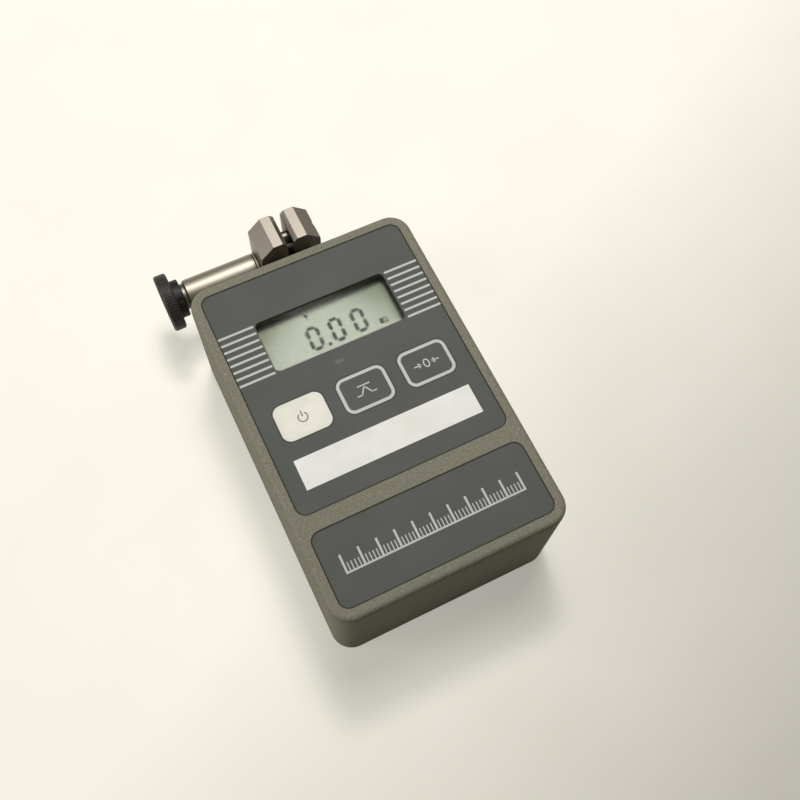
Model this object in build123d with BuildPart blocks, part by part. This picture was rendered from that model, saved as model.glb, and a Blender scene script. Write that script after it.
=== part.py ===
from build123d import *
import math
import os

# A hand-held digital force gauge with a screw-clamp grip on its load shaft.
# Millimetres. The origin is the middle of the back face. +X runs to the right of the display face,
# +Y runs along the load shaft towards the grip, and +Z comes out of the display face.

# ------------------------------------------------------------------ driving dimensions
# Housing, about 3 1/8 x 4 3/4 x 1 7/8 inches
body_w = 79.4
body_h = 120.8
body_t = 47.8
body_corner_r = 7.1
face_edge_r = 1.65
back_edge_r = 0.8
wall = 3.2
rim_wall = 1.9
front_wall = 3.6

# Labels, sunk in the display face
label_side = 3.5
label_top = 3.5
label_foot = 3.7
label_band = 5.5
lower_label_h = 25.5
label_recess = 0.9
label_t = 0.7
plate_w = 60.8
plate_h = 10.4
plate_t = 0.2
plate_y = -13.2

# Display
window_w = 46.2
window_h = 19.0
window_r = 1.8
window_y = 31.4
aperture_margin = 0.5
lens_margin = 2.0
lens_t = 1.0
lcd_side = 2.3
lcd_end = 1.95
lcd_t = 2.8
lcd_gap = 0.2
strip_h = 5.0
strip_w = 2.4
strip_side = 1.5
frame_wall = 2.6
frame_lip = 0.8

# Keys
key_w = 16.9
key_h = 12.8
key_r = 3.0
key_pitch = 21.75
key_y = 4.5
key_land = 0.35
key_flange = 1.0
key_flange_t = 0.8
key_travel = 0.4
key_stem_r = 2.0
key_names = ["power_key", "hold_key", "zero_key"]

# Main board
board_side = 1.5
board_edge = 3.5
board_t = 1.6
board_corner_r = 1.0
standoff_r = 3.0
standoff_inset = 13.0
board_screw_r = 1.25
board_screw_l = 5.0
board_screw_head_r = 2.5
board_screw_head_h = 1.8
switch_w = 6.0
switch_h = 3.4
actuator_r = 1.7
actuator_h = 1.0
processor_w = 14.0
processor_x = -22.0
processor_y = 20.0
wide_chip_w = 7.5
wide_chip_l = 12.8
amplifier_x = 22.0
amplifier_y = 12.0
memory_y = -22.0
chip_h = 2.2
capacitor_r = 2.5
capacitor_h = 5.0
capacitor_x = 24.0
capacitor_y = 35.0

# Back cover
cover_t = 4.8
cover_screw_inset = 6.7
cover_boss_r = 4.0
cover_screw_r = 1.75
cover_screw_l = 14.0
cover_screw_head_r = 3.4
stand_dx = 57.2
stand_dy = 76.2
stand_hole_r = 1.73
stand_hole_depth = 8.0
stand_boss_r = 4.0
stand_boss_h = 4.4

# Load cell on its anchor block
cell_w = 25.4
cell_l = 50.8
cell_t = 12.7
cell_slot = 2.0
cell_slot_y = 12.2
cell_web = 5.7
cell_eye_r = 5.0
cell_eye_dx = 12.0
cell_eye_slot = 4.0
cell_thread_depth = 9.0
anchor_l = 12.0
anchor_screw_r = 2.0
anchor_screw_dx = 15.0
anchor_screw_grip = 8.0
anchor_screw_head_r = 3.9
cell_bolt_r = 3.0
cell_bolt_head_r = 5.0
cell_bolt_head_h = 6.0
cell_bolt_key_af = 5.0
cell_bolt_key_depth = 4.0
gauge_t = 0.15
gauge_w = 5.0
gauge_bond = 0.01

# Load shaft
shaft_r = 3.97
stud_r = 3.1
stud_short = 0.5
nut_af = 11.1
cell_nut_t = 3.0
foot_nut_t = 2.6
shaft_hole_r = 4.8
seal_t = 2.0
seal_r = 7.0
nut_to_seal = 1.1
load_travel = 0.25

# Grip
jaw_h = 38.1
jaw_l = 12.7
jaw_t = 9.85
jaw_gap = 2.6
jaw_rise = 7.4
jaw_inner_chamfer = 1.5
jaw_outer_chamfer = 4.9
foot_t = 3.9
foot_reach = 9.0
foot_w = 19.0
pin_r = 2.38
pin_spread = 24.0
pin_seat = 7.5
pin_end_short = 0.45
pin_chamfer = 0.4
ring_t = 0.9
ring_r = 5.75
ring_chamfer = 0.2
tube_len = 26.85
tube_r = 5.575
tube_chamfer = 0.5
spigot_r = 4.0
spigot_l = 5.5
screw_r = 3.175
screw_chamfer = 0.6
clip_t = 0.8
clip_groove_r = 2.6
clip_r = 5.0
clip_mouth = 4.2
clip_seat_r = 5.6
clip_seat_depth = 2.4
washer_t = 1.0
washer_r = 4.7
hub_len = 2.9
hub_r = 6.85
hub_chamfer = 0.3
knob_len = 4.4
knob_r = 10.3
knob_chamfer = 0.55
knob_teeth = 60
knob_tooth_depth = 0.42
knob_tooth_over = 0.2
knob_dish_r = 6.6
knob_dish_depth = 0.6
screw_in_knob = 2.2
grub_r = 1.1
grub_sink = 0.6
grub_key_af = 1.0
grub_key_depth = 0.8
grub_tilt = 52.0

# Battery and charger jack
battery_w = 48.5
battery_h = 26.5
battery_t = 17.5
battery_y = -32.0
battery_edge_r = 2.0
terminal_r = 2.5
clip_sheet = 0.8
clip_w = 18.0
clip_arm = 12.0
rivet_r = 1.6
snap_t = 2.0
snap_rim = 2.0
snap_post_r = 2.9
snap_post_h = 2.4
snap_post_dx = 12.7
jack_y = -35.0
jack_w = 11.0
jack_l = 12.0
jack_h = 9.4
jack_barrel_r = 3.9
jack_bore_r = 2.75
jack_pin_r = 1.0
jack_floor = 2.0

# Clearances
seat_gap = 0.1         # pieces that drop into a pocket
thread_gap = 0.05      # radial, at screw threads and fixed studs
running_gap = 0.08     # radial, at shafts that turn or slide
end_gap = 0.15         # axial, at collars that turn
free_gap = 0.3         # between pieces that move past each other
blind_gap = 1.0        # beyond the end of a screw in a blind hole

# ------------------------------------------------------------------ places that follow from them
axis_z = body_t / 2
body_top_y = body_h / 2
recess_floor_z = body_t - label_recess
label_top_z = recess_floor_z + label_t
front_wall_z = body_t - front_wall
cover_screw_x = body_w / 2 - cover_screw_inset
cover_screw_y = body_h / 2 - cover_screw_inset
label_w = body_w - 2 * label_side
label_corner_r = body_corner_r - label_side
upper_label_h = body_h - label_top - label_band - lower_label_h - label_foot
upper_label_y = body_top_y - label_top - upper_label_h / 2
lower_label_y = -body_top_y + label_foot + lower_label_h / 2
lcd_w = window_w + 2 * lcd_side
lcd_h = window_h + 2 * lcd_end
frame_w = lcd_w + 2 * frame_wall
frame_h = lcd_h + 2 * frame_wall
lcd_top_z = front_wall_z - lcd_gap
lcd_back_z = lcd_top_z - lcd_t
board_top_z = lcd_back_z - strip_h
board_back_z = board_top_z - board_t
board_w = body_w - 2 * wall - 2 * board_side
standoff_x = board_w / 2 - standoff_inset
standoff_y = window_y + frame_h / 2 + free_gap + standoff_r
board_h = 2 * (standoff_y + board_edge)
key_pad_w = key_w + 2 * key_land
key_pad_h = key_h + 2 * key_land
key_pad_r = key_r + key_land
key_xs = [-key_pitch, 0.0, key_pitch]
seal_y = body_top_y - wall
cell_head_y = seal_y - seal_t - nut_to_seal - cell_nut_t - free_gap
cell_foot_y = cell_head_y - cell_l
jaw_y = body_top_y + jaw_rise
foot_top_y = jaw_y - free_gap
foot_y = foot_top_y - foot_t
grip_y = jaw_y + jaw_l / 2
tube_end_x = -jaw_t - ring_t
tube_x = tube_end_x - tube_len
hub_end_x = tube_x - washer_t - 2 * end_gap
hub_x = hub_end_x - hub_len
knob_x = hub_x - knob_len
jaw_back_x = jaw_gap + jaw_t
battery_z = cover_t + clip_sheet + seat_gap
jack_z = board_back_z - jack_h / 2

load_line = Axis((0, 0, axis_z), (0, 1, 0))
grip_line = Axis((0, grip_y, axis_z), (1, 0, 0))


def across_load_line(y):
    """Plane square to the load line at height y, facing the grip."""
    return Plane(origin=(0, y, axis_z), x_dir=(1, 0, 0), z_dir=(0, 1, 0))


def across_grip_line(x):
    """Plane square to the grip's screw at x, facing right."""
    return Plane(origin=(x, grip_y, axis_z), x_dir=(0, 1, 0), z_dir=(1, 0, 0))


load_section = Plane.XY.offset(axis_z)
grip_section = Plane(origin=(0, grip_y, axis_z), x_dir=(1, 0, 0), z_dir=(0, -1, 0))

os.makedirs("parts", exist_ok=True)


def save(builder, label):
    """Label a finished piece and write it to its own file."""
    builder.part.label = label
    export_step(builder.part, f"parts/{label}.step")


# ------------------------------------------------------------------ front housing
# One deep casting: display face, four walls, screw bosses at the corners, board standoffs.
with BuildPart() as front_housing:
    with BuildSketch():
        RectangleRounded(body_w, body_h, body_corner_r)
    extrude(amount=body_t)
    fillet(front_housing.faces().sort_by(Axis.Z)[-1].edges(), face_edge_r)
    fillet(front_housing.faces().sort_by(Axis.Z)[0].edges(), back_edge_r)
    # open back, with a ledge for the cover
    with BuildSketch():
        RectangleRounded(body_w - 2 * rim_wall, body_h - 2 * rim_wall, body_corner_r - rim_wall)
    extrude(amount=cover_t, mode=Mode.SUBTRACT)
    with BuildSketch(Plane.XY.offset(cover_t)):
        RectangleRounded(body_w - 2 * wall, body_h - 2 * wall, body_corner_r - wall)
    extrude(amount=front_wall_z - cover_t, mode=Mode.SUBTRACT)
    # bosses for the cover screws
    with BuildSketch(Plane.XY.offset(cover_t)):
        with GridLocations(2 * cover_screw_x, 2 * cover_screw_y, 2, 2):
            Circle(cover_boss_r)
    extrude(amount=front_wall_z - cover_t)
    with BuildSketch(Plane.XY.offset(cover_t)):
        with GridLocations(2 * cover_screw_x, 2 * cover_screw_y, 2, 2):
            Circle(cover_screw_r + thread_gap)
    extrude(amount=cover_screw_l - cover_t + blind_gap, mode=Mode.SUBTRACT)
    # standoffs for the board
    with BuildSketch(Plane.XY.offset(board_top_z)):
        with GridLocations(2 * standoff_x, 2 * standoff_y, 2, 2):
            Circle(standoff_r)
    extrude(amount=front_wall_z - board_top_z)
    with BuildSketch(Plane.XY.offset(board_top_z)):
        with GridLocations(2 * standoff_x, 2 * standoff_y, 2, 2):
            Circle(board_screw_r + thread_gap)
    extrude(amount=board_screw_l + blind_gap, mode=Mode.SUBTRACT)
    # recesses for the two labels
    with BuildSketch(Plane.XY.offset(recess_floor_z)):
        with Locations((0, upper_label_y)):
            RectangleRounded(label_w, upper_label_h, label_corner_r)
        with Locations((0, lower_label_y)):
            RectangleRounded(label_w, lower_label_h, label_corner_r)
    extrude(amount=label_recess, mode=Mode.SUBTRACT)
    # seat for the window, and the hole behind it
    with BuildSketch(Plane.XY.offset(recess_floor_z)):
        with Locations((0, window_y)):
            Rectangle(window_w + 2 * lens_margin, window_h + 2 * lens_margin)
    extrude(amount=-lens_t, mode=Mode.SUBTRACT)
    with BuildSketch(Plane.XY.offset(front_wall_z)):
        with Locations((0, window_y)):
            RectangleRounded(window_w + 2 * aperture_margin, window_h + 2 * aperture_margin, window_r)
    extrude(amount=front_wall, mode=Mode.SUBTRACT)
    # pockets for the key flanges, and guides for the key stems
    with BuildSketch(Plane.XY.offset(recess_floor_z)):
        with Locations(*[(x, key_y) for x in key_xs]):
            RectangleRounded(key_pad_w + 2 * key_flange + 2 * free_gap,
                             key_pad_h + 2 * key_flange + 2 * free_gap, key_pad_r + key_flange)
    extrude(amount=-(key_flange_t + key_travel + 2 * seat_gap), mode=Mode.SUBTRACT)
    with BuildSketch(Plane.XY.offset(front_wall_z)):
        with Locations(*[(x, key_y) for x in key_xs]):
            Circle(key_stem_r + seat_gap)
    extrude(amount=front_wall, mode=Mode.SUBTRACT)
    # hole for the load shaft in the top wall, with a seat for the dust seal inside
    with BuildSketch(across_load_line(seal_y)):
        Circle(shaft_hole_r)
    extrude(amount=wall, mode=Mode.SUBTRACT)
    with BuildSketch(across_load_line(seal_y)):
        Circle(seal_r)
    extrude(amount=seal_t, mode=Mode.SUBTRACT)
    # hole for the charger jack in the right-hand wall
    with BuildSketch(Plane.YZ.offset(body_w / 2 - wall)):
        with Locations((jack_y, jack_z)):
            Circle(jack_barrel_r + seat_gap)
    extrude(amount=wall, mode=Mode.SUBTRACT)
save(front_housing, "front_housing")

# ------------------------------------------------------------------ back cover and its screws
cover_w = body_w - 2 * rim_wall - 2 * seat_gap
cover_h = body_h - 2 * rim_wall - 2 * seat_gap
under_cover = Plane(origin=(0, 0, 0), x_dir=(1, 0, 0), z_dir=(0, 0, -1))
anchor_y = cell_foot_y - anchor_l / 2

with BuildPart() as back_cover:
    with BuildSketch():
        RectangleRounded(cover_w, cover_h, body_corner_r - rim_wall - seat_gap)
    extrude(amount=cover_t)
    with BuildSketch(Plane.XY.offset(cover_t)):
        with GridLocations(stand_dx, stand_dy, 2, 2):
            Circle(stand_boss_r)
    extrude(amount=stand_boss_h)
    with Locations(under_cover):
        with GridLocations(2 * cover_screw_x, 2 * cover_screw_y, 2, 2):
            CounterSinkHole(cover_screw_r + seat_gap, cover_screw_head_r + seat_gap, depth=cover_t,
                            counter_sink_angle=90)
        with GridLocations(stand_dx, stand_dy, 2, 2):
            Hole(stand_hole_r, depth=stand_hole_depth)
        with Locations((-anchor_screw_dx / 2, -anchor_y), (anchor_screw_dx / 2, -anchor_y)):
            CounterSinkHole(anchor_screw_r + seat_gap, anchor_screw_head_r + seat_gap, depth=cover_t,
                            counter_sink_angle=90)
        with Locations((0, -battery_y)):
            Hole(rivet_r + thread_gap, depth=cover_t)
save(back_cover, "back_cover")


def flat_head_profile(shank_r, head_r, length):
    """Half section of a flat-head screw, head at the back face and point inwards."""
    with BuildLine() as line:
        Polyline((0, 0), (head_r, 0), (shank_r, head_r - shank_r), (shank_r, length), (0, length),
                 close=True)
    return line.wires()[0]


def flat_head_screws(spots, shank_r, head_r, length):
    """Flat-head screws let in from the back face at the given spots."""
    with BuildPart() as screws:
        for x, y in spots:
            with BuildSketch(Plane(origin=(x, y, 0), x_dir=(1, 0, 0), z_dir=(0, -1, 0))):
                make_face(flat_head_profile(shank_r, head_r, length))
            revolve(axis=Axis((x, y, 0), (0, 0, 1)))
    return screws


cover_screw_spots = [(sx * cover_screw_x, sy * cover_screw_y) for sx in (-1, 1) for sy in (-1, 1)]
cover_screws = flat_head_screws(cover_screw_spots, cover_screw_r, cover_screw_head_r, cover_screw_l)
save(cover_screws, "cover_screws")

# ------------------------------------------------------------------ labels, blank plate, window
with BuildPart() as upper_label:
    with BuildSketch(Plane.XY.offset(recess_floor_z)):
        with Locations((0, upper_label_y)):
            RectangleRounded(label_w - 2 * seat_gap, upper_label_h - 2 * seat_gap,
                             label_corner_r - seat_gap)
        with Locations((0, window_y)):
            RectangleRounded(window_w, window_h, window_r, mode=Mode.SUBTRACT)
        with Locations(*[(x, key_y) for x in key_xs]):
            RectangleRounded(key_pad_w + 2 * seat_gap, key_pad_h + 2 * seat_gap, key_pad_r + seat_gap,
                             mode=Mode.SUBTRACT)
    extrude(amount=label_t)
save(upper_label, "upper_label")

with BuildPart() as lower_label:
    with BuildSketch(Plane.XY.offset(recess_floor_z)):
        with Locations((0, lower_label_y)):
            RectangleRounded(label_w - 2 * seat_gap, lower_label_h - 2 * seat_gap,
                             label_corner_r - seat_gap)
    extrude(amount=label_t)
save(lower_label, "lower_label")

with BuildPart() as blank_plate:
    with BuildSketch(Plane.XY.offset(label_top_z)):
        with Locations((0, plate_y)):
            Rectangle(plate_w, plate_h)
    extrude(amount=plate_t)
save(blank_plate, "blank_plate")

with BuildPart() as window_lens:
    with BuildSketch(Plane.XY.offset(recess_floor_z - lens_t)):
        with Locations((0, window_y)):
            Rectangle(window_w + 2 * lens_margin - 2 * seat_gap, window_h + 2 * lens_margin - 2 * seat_gap)
    extrude(amount=lens_t)
save(window_lens, "window_lens")

# ------------------------------------------------------------------ keys
# A pad in the label, a flange under it and a stem down to the switch.
switch_top_z = board_top_z + switch_h
stem_end_z = switch_top_z + key_travel + seat_gap
flange_top_z = recess_floor_z - thread_gap

for key_name, key_x in zip(key_names, key_xs):
    with BuildPart() as key:
        with BuildSketch(Plane.XY.offset(flange_top_z)):
            with Locations((key_x, key_y)):
                RectangleRounded(key_pad_w, key_pad_h, key_pad_r)
        extrude(amount=label_top_z - flange_top_z)
        with BuildSketch(Plane.XY.offset(flange_top_z)):
            with Locations((key_x, key_y)):
                RectangleRounded(key_pad_w + 2 * key_flange, key_pad_h + 2 * key_flange,
                                 key_pad_r + key_flange)
        extrude(amount=-key_flange_t)
        with BuildSketch(Plane.XY.offset(stem_end_z)):
            with Locations((key_x, key_y)):
                Circle(key_stem_r)
        extrude(until=Until.NEXT)
    save(key, key_name)

# ------------------------------------------------------------------ display on the board
strip_y = lcd_h / 2 - strip_w / 2 - frame_lip
strip_l = lcd_w - 2 * frame_lip - 2 * strip_side

with BuildPart() as lcd_glass:
    with BuildSketch(Plane.XY.offset(lcd_back_z)):
        with Locations((0, window_y)):
            Rectangle(lcd_w, lcd_h)
    extrude(amount=lcd_t)
save(lcd_glass, "lcd_glass")

with BuildPart() as lcd_frame:
    with BuildSketch(Plane.XY.offset(board_top_z)):
        with Locations((0, window_y)):
            Rectangle(frame_w, frame_h)
            Rectangle(lcd_w - 2 * frame_lip, lcd_h - 2 * frame_lip, mode=Mode.SUBTRACT)
    extrude(amount=lcd_top_z - board_top_z)
    with BuildSketch(Plane.XY.offset(lcd_back_z)):
        with Locations((0, window_y)):
            Rectangle(lcd_w + 2 * seat_gap, lcd_h + 2 * seat_gap)
    extrude(amount=lcd_t, mode=Mode.SUBTRACT)
save(lcd_frame, "lcd_frame")

with BuildPart() as contact_strips:
    with BuildSketch(Plane.XY.offset(board_top_z)):
        with Locations((0, window_y - strip_y), (0, window_y + strip_y)):
            Rectangle(strip_l, strip_w)
    extrude(amount=strip_h)
save(contact_strips, "contact_strips")

# ------------------------------------------------------------------ main board
# Its corners are cut away round the bosses of the cover screws.
with BuildPart() as main_board:
    with BuildSketch(Plane.XY.offset(board_back_z)):
        RectangleRounded(board_w, board_h, board_corner_r)
        with GridLocations(2 * cover_screw_x, 2 * cover_screw_y, 2, 2):
            Circle(cover_boss_r + free_gap, mode=Mode.SUBTRACT)
        with GridLocations(2 * standoff_x, 2 * standoff_y, 2, 2):
            Circle(board_screw_r + seat_gap, mode=Mode.SUBTRACT)
    extrude(amount=board_t)
save(main_board, "main_board")

with BuildPart() as board_screws:
    with BuildSketch(Plane.XY.offset(board_back_z)):
        with GridLocations(2 * standoff_x, 2 * standoff_y, 2, 2):
            Circle(board_screw_r)
    extrude(amount=board_t + board_screw_l)
    with BuildSketch(Plane.XY.offset(board_back_z)):
        with GridLocations(2 * standoff_x, 2 * standoff_y, 2, 2):
            Circle(board_screw_head_r)
    extrude(amount=-board_screw_head_h)
save(board_screws, "board_screws")

with BuildPart() as key_switches:
    with BuildSketch(Plane.XY.offset(board_top_z)):
        with Locations(*[(x, key_y) for x in key_xs]):
            Rectangle(switch_w, switch_w)
    extrude(amount=switch_h - actuator_h)
    with BuildSketch(Plane.XY.offset(board_top_z)):
        with Locations(*[(x, key_y) for x in key_xs]):
            Circle(actuator_r)
    extrude(amount=switch_h)
save(key_switches, "key_switches")

# processor, amplifier and memory under the board, with two capacitors beside them
with BuildPart() as board_chips:
    with BuildSketch(Plane.XY.offset(board_back_z)):
        with Locations((processor_x, processor_y)):
            Rectangle(processor_w, processor_w)
        with Locations((amplifier_x, amplifier_y)):
            Rectangle(wide_chip_w, wide_chip_l)
        with Locations((0, memory_y)):
            Rectangle(wide_chip_l, wide_chip_w)
    extrude(amount=-chip_h)
    with BuildSketch(Plane.XY.offset(board_back_z)):
        with Locations((-capacitor_x, capacitor_y), (capacitor_x, capacitor_y)):
            Circle(capacitor_r)
    extrude(amount=-capacitor_h)
save(board_chips, "board_chips")

# ------------------------------------------------------------------ load cell on its anchor
anchor_top_z = axis_z + cell_t / 2
with BuildPart() as cell_anchor:
    with BuildSketch(Plane.XY.offset(cover_t)):
        with Locations((0, anchor_y)):
            Rectangle(cell_w, anchor_l)
    extrude(amount=anchor_top_z - cover_t)
    with BuildSketch(Plane.XY.offset(cover_t)):
        with Locations((-anchor_screw_dx / 2, anchor_y), (anchor_screw_dx / 2, anchor_y)):
            Circle(anchor_screw_r + thread_gap)
    extrude(amount=anchor_screw_grip + blind_gap, mode=Mode.SUBTRACT)
    with BuildSketch(across_load_line(cell_foot_y - anchor_l)):
        Circle(cell_bolt_r + seat_gap)
    extrude(amount=anchor_l, mode=Mode.SUBTRACT)
    with BuildSketch(across_load_line(cell_foot_y - anchor_l)):
        Circle(cell_bolt_head_r + seat_gap)
    extrude(amount=cell_bolt_head_h, mode=Mode.SUBTRACT)
save(cell_anchor, "cell_anchor")

anchor_screw_spots = [(-anchor_screw_dx / 2, anchor_y), (anchor_screw_dx / 2, anchor_y)]
anchor_screws = flat_head_screws(anchor_screw_spots, anchor_screw_r, anchor_screw_head_r,
                                 cover_t + anchor_screw_grip)
save(anchor_screws, "anchor_screws")

with BuildPart() as cell_bolt:
    with BuildSketch(across_load_line(cell_foot_y - anchor_l)):
        Circle(cell_bolt_head_r)
    extrude(amount=cell_bolt_head_h)
    with BuildSketch(across_load_line(cell_foot_y - anchor_l + cell_bolt_head_h)):
        Circle(cell_bolt_r)
    extrude(amount=anchor_l - cell_bolt_head_h + cell_thread_depth - blind_gap)
    with BuildSketch(across_load_line(cell_foot_y - anchor_l)):
        RegularPolygon(cell_bolt_key_af / 2, 6, major_radius=False)
    extrude(amount=cell_bolt_key_depth, mode=Mode.SUBTRACT)
save(cell_bolt, "cell_bolt")

# S-shaped block: two slots from opposite sides leave a beam between them, pierced by a double eye.
cell_mid_y = cell_foot_y + cell_l / 2
slot_reach = cell_w - cell_web
with BuildPart() as load_cell:
    with BuildSketch(Plane.XY.offset(axis_z - cell_t / 2)):
        with Locations((0, cell_mid_y)):
            Rectangle(cell_w, cell_l)
        with Locations((cell_web / 2, cell_foot_y + cell_slot_y)):
            Rectangle(slot_reach, cell_slot, mode=Mode.SUBTRACT)
        with Locations((-cell_web / 2, cell_head_y - cell_slot_y)):
            Rectangle(slot_reach, cell_slot, mode=Mode.SUBTRACT)
        with Locations((-cell_eye_dx / 2, cell_mid_y), (cell_eye_dx / 2, cell_mid_y)):
            Circle(cell_eye_r, mode=Mode.SUBTRACT)
        with Locations((0, cell_mid_y)):
            Rectangle(cell_eye_dx, cell_eye_slot, mode=Mode.SUBTRACT)
    extrude(amount=cell_t)
    with BuildSketch(across_load_line(cell_foot_y)):
        Circle(cell_bolt_r + thread_gap)
    extrude(amount=cell_thread_depth, mode=Mode.SUBTRACT)
    with BuildSketch(across_load_line(cell_head_y)):
        Circle(stud_r + running_gap)
    extrude(amount=-cell_thread_depth, mode=Mode.SUBTRACT)
save(load_cell, "load_cell")

# foil gauges bonded inside the eyes, on the thin walls that face the slots
gauge_arc = math.degrees(gauge_w / cell_eye_r)
with BuildPart() as strain_gauges:
    with BuildSketch(Plane.XY.offset(axis_z - gauge_w / 2)):
        for side in (-1, 1):
            for facing in (90, 270):
                with BuildLine(Plane((side * cell_eye_dx / 2, cell_mid_y))):
                    inner = CenterArc((0, 0), cell_eye_r - gauge_t, facing - gauge_arc / 2, gauge_arc)
                    outer = CenterArc((0, 0), cell_eye_r - gauge_bond, facing - gauge_arc / 2, gauge_arc)
                    Line(inner @ 0, outer @ 0)
                    Line(inner @ 1, outer @ 1)
                make_face()
    extrude(amount=gauge_w)
save(strain_gauges, "strain_gauges")

# ------------------------------------------------------------------ load shaft, seal and lock nuts
stud_top_y = foot_top_y - stud_short
stud_low_y = cell_head_y - cell_thread_depth + blind_gap
shaft_low_y = cell_head_y + free_gap + cell_nut_t
shaft_high_y = foot_y - foot_nut_t
with BuildPart() as load_shaft:
    with BuildSketch(load_section):
        with BuildLine():
            Polyline((0, stud_low_y), (stud_r, stud_low_y), (stud_r, shaft_low_y), (shaft_r, shaft_low_y),
                     (shaft_r, shaft_high_y), (stud_r, shaft_high_y), (stud_r, stud_top_y),
                     (0, stud_top_y), close=True)
        make_face()
    revolve(axis=load_line)
save(load_shaft, "load_shaft")

with BuildPart() as cell_nut:
    with BuildSketch(across_load_line(cell_head_y + free_gap)):
        RegularPolygon(nut_af / 2, 6, major_radius=False)
        Circle(stud_r + thread_gap, mode=Mode.SUBTRACT)
    extrude(amount=cell_nut_t)
save(cell_nut, "cell_nut")

with BuildPart() as foot_nut:
    with BuildSketch(across_load_line(shaft_high_y)):
        RegularPolygon(nut_af / 2, 6, major_radius=False)
        Circle(stud_r + thread_gap, mode=Mode.SUBTRACT)
    extrude(amount=foot_nut_t)
save(foot_nut, "foot_nut")

with BuildPart() as dust_seal:
    with BuildSketch(across_load_line(seal_y)):
        Circle(seal_r - seat_gap)
        Circle(shaft_r + free_gap, mode=Mode.SUBTRACT)
    extrude(amount=seal_t)
save(dust_seal, "dust_seal")

# ------------------------------------------------------------------ jaws
# The fixed jaw stands on a foot that is screwed to the load shaft. Its gripping face lies on the
# load line. The moving jaw runs on two guide pins and is drawn in by the clamp screw.


def jaw_outline(facing):
    """Jaw seen along the load line: small chamfers at the gap, large ones outside."""
    with BuildSketch() as outline:
        with Locations((-facing * jaw_t / 2, 0)):
            Rectangle(jaw_t, jaw_h)
        corners = outline.vertices().group_by(Axis.X)
        gap_corners = corners[-1] if facing > 0 else corners[0]
        outer_corners = corners[0] if facing > 0 else corners[-1]
        chamfer(gap_corners, jaw_inner_chamfer)
        chamfer(outer_corners, jaw_outer_chamfer)
    return outline.sketch


with BuildPart() as fixed_jaw:
    with BuildSketch(across_load_line(jaw_y)):
        add(jaw_outline(1))
    extrude(amount=jaw_l)
    # foot, a little below the moving jaw and joined to the fixed one
    with BuildSketch(Plane.XY.offset(axis_z - foot_w / 2)):
        with Locations(((foot_reach - jaw_t) / 2, (foot_y + foot_top_y) / 2)):
            Rectangle(foot_reach + jaw_t, foot_t)
        with Locations((-jaw_t / 2, jaw_y)):
            Rectangle(jaw_t, 2 * free_gap)
    extrude(amount=foot_w)
    with BuildSketch(across_load_line(foot_y)):
        Circle(stud_r + thread_gap)
    extrude(amount=foot_t, mode=Mode.SUBTRACT)
    # bore for the screw, with the tube's spigot at one end and the retaining ring at the other
    with BuildSketch(across_grip_line(-jaw_t)):
        Circle(screw_r + running_gap)
    extrude(amount=jaw_t, mode=Mode.SUBTRACT)
    with BuildSketch(across_grip_line(-jaw_t)):
        Circle(spigot_r + thread_gap)
    extrude(amount=spigot_l, mode=Mode.SUBTRACT)
    with BuildSketch(across_grip_line(0)):
        Circle(clip_seat_r)
    extrude(amount=-clip_seat_depth, mode=Mode.SUBTRACT)
    # seats for the guide pins
    with BuildSketch(across_grip_line(0)):
        with Locations((0, -pin_spread / 2), (0, pin_spread / 2)):
            Circle(pin_r + thread_gap)
    extrude(amount=-pin_seat, mode=Mode.SUBTRACT)
save(fixed_jaw, "fixed_jaw")

with BuildPart() as moving_jaw:
    with BuildSketch(Plane(origin=(jaw_gap, jaw_y, axis_z), x_dir=(1, 0, 0), z_dir=(0, 1, 0))):
        add(jaw_outline(-1))
    extrude(amount=jaw_l)
    with BuildSketch(across_grip_line(jaw_gap)):
        Circle(screw_r + running_gap)
        with Locations((0, -pin_spread / 2), (0, pin_spread / 2)):
            Circle(pin_r + running_gap)
    extrude(amount=jaw_t, mode=Mode.SUBTRACT)
save(moving_jaw, "moving_jaw")

pin_end_x = jaw_back_x - pin_end_short
with BuildPart() as guide_pins:
    with BuildSketch(across_grip_line(-pin_seat)):
        with Locations((0, -pin_spread / 2), (0, pin_spread / 2)):
            Circle(pin_r)
    extrude(amount=pin_seat + pin_end_x)
    chamfer(guide_pins.faces().sort_by(Axis.X)[-1].edges(), pin_chamfer)
save(guide_pins, "guide_pins")

# ------------------------------------------------------------------ spacer tube and its ring
tube_bore_r = screw_r + running_gap
with BuildPart() as spacer_tube:
    with BuildSketch(grip_section):
        with BuildLine():
            Polyline((tube_x, tube_bore_r), (tube_x, tube_r - tube_chamfer),
                     (tube_x + tube_chamfer, tube_r), (tube_end_x - tube_chamfer, tube_r),
                     (tube_end_x, tube_r - tube_chamfer), (tube_end_x, spigot_r),
                     (-jaw_t + spigot_l, spigot_r), (-jaw_t + spigot_l, tube_bore_r), close=True)
        make_face()
    revolve(axis=grip_line)
save(spacer_tube, "spacer_tube")

with BuildPart() as tube_ring:
    with BuildSketch(across_grip_line(tube_end_x)):
        Circle(ring_r)
        Circle(spigot_r + thread_gap, mode=Mode.SUBTRACT)
    extrude(amount=ring_t)
    chamfer(tube_ring.edges().filter_by(GeomType.CIRCLE).group_by(SortBy.RADIUS)[-1], ring_chamfer)
save(tube_ring, "tube_ring")

# ------------------------------------------------------------------ clamp screw and thumb knob
screw_x = knob_x + screw_in_knob
clip_x = -clip_seat_depth + end_gap + free_gap
with BuildPart() as clamp_screw:
    with BuildSketch(grip_section):
        with BuildLine():
            Polyline((screw_x, 0), (screw_x, screw_r), (clip_x - seat_gap, screw_r),
                     (clip_x - seat_gap, clip_groove_r), (clip_x + clip_t + seat_gap, clip_groove_r),
                     (clip_x + clip_t + seat_gap, screw_r), (pin_end_x - screw_chamfer, screw_r),
                     (pin_end_x, screw_r - screw_chamfer), (pin_end_x, 0), close=True)
        make_face()
    revolve(axis=grip_line)
save(clamp_screw, "clamp_screw")

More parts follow.
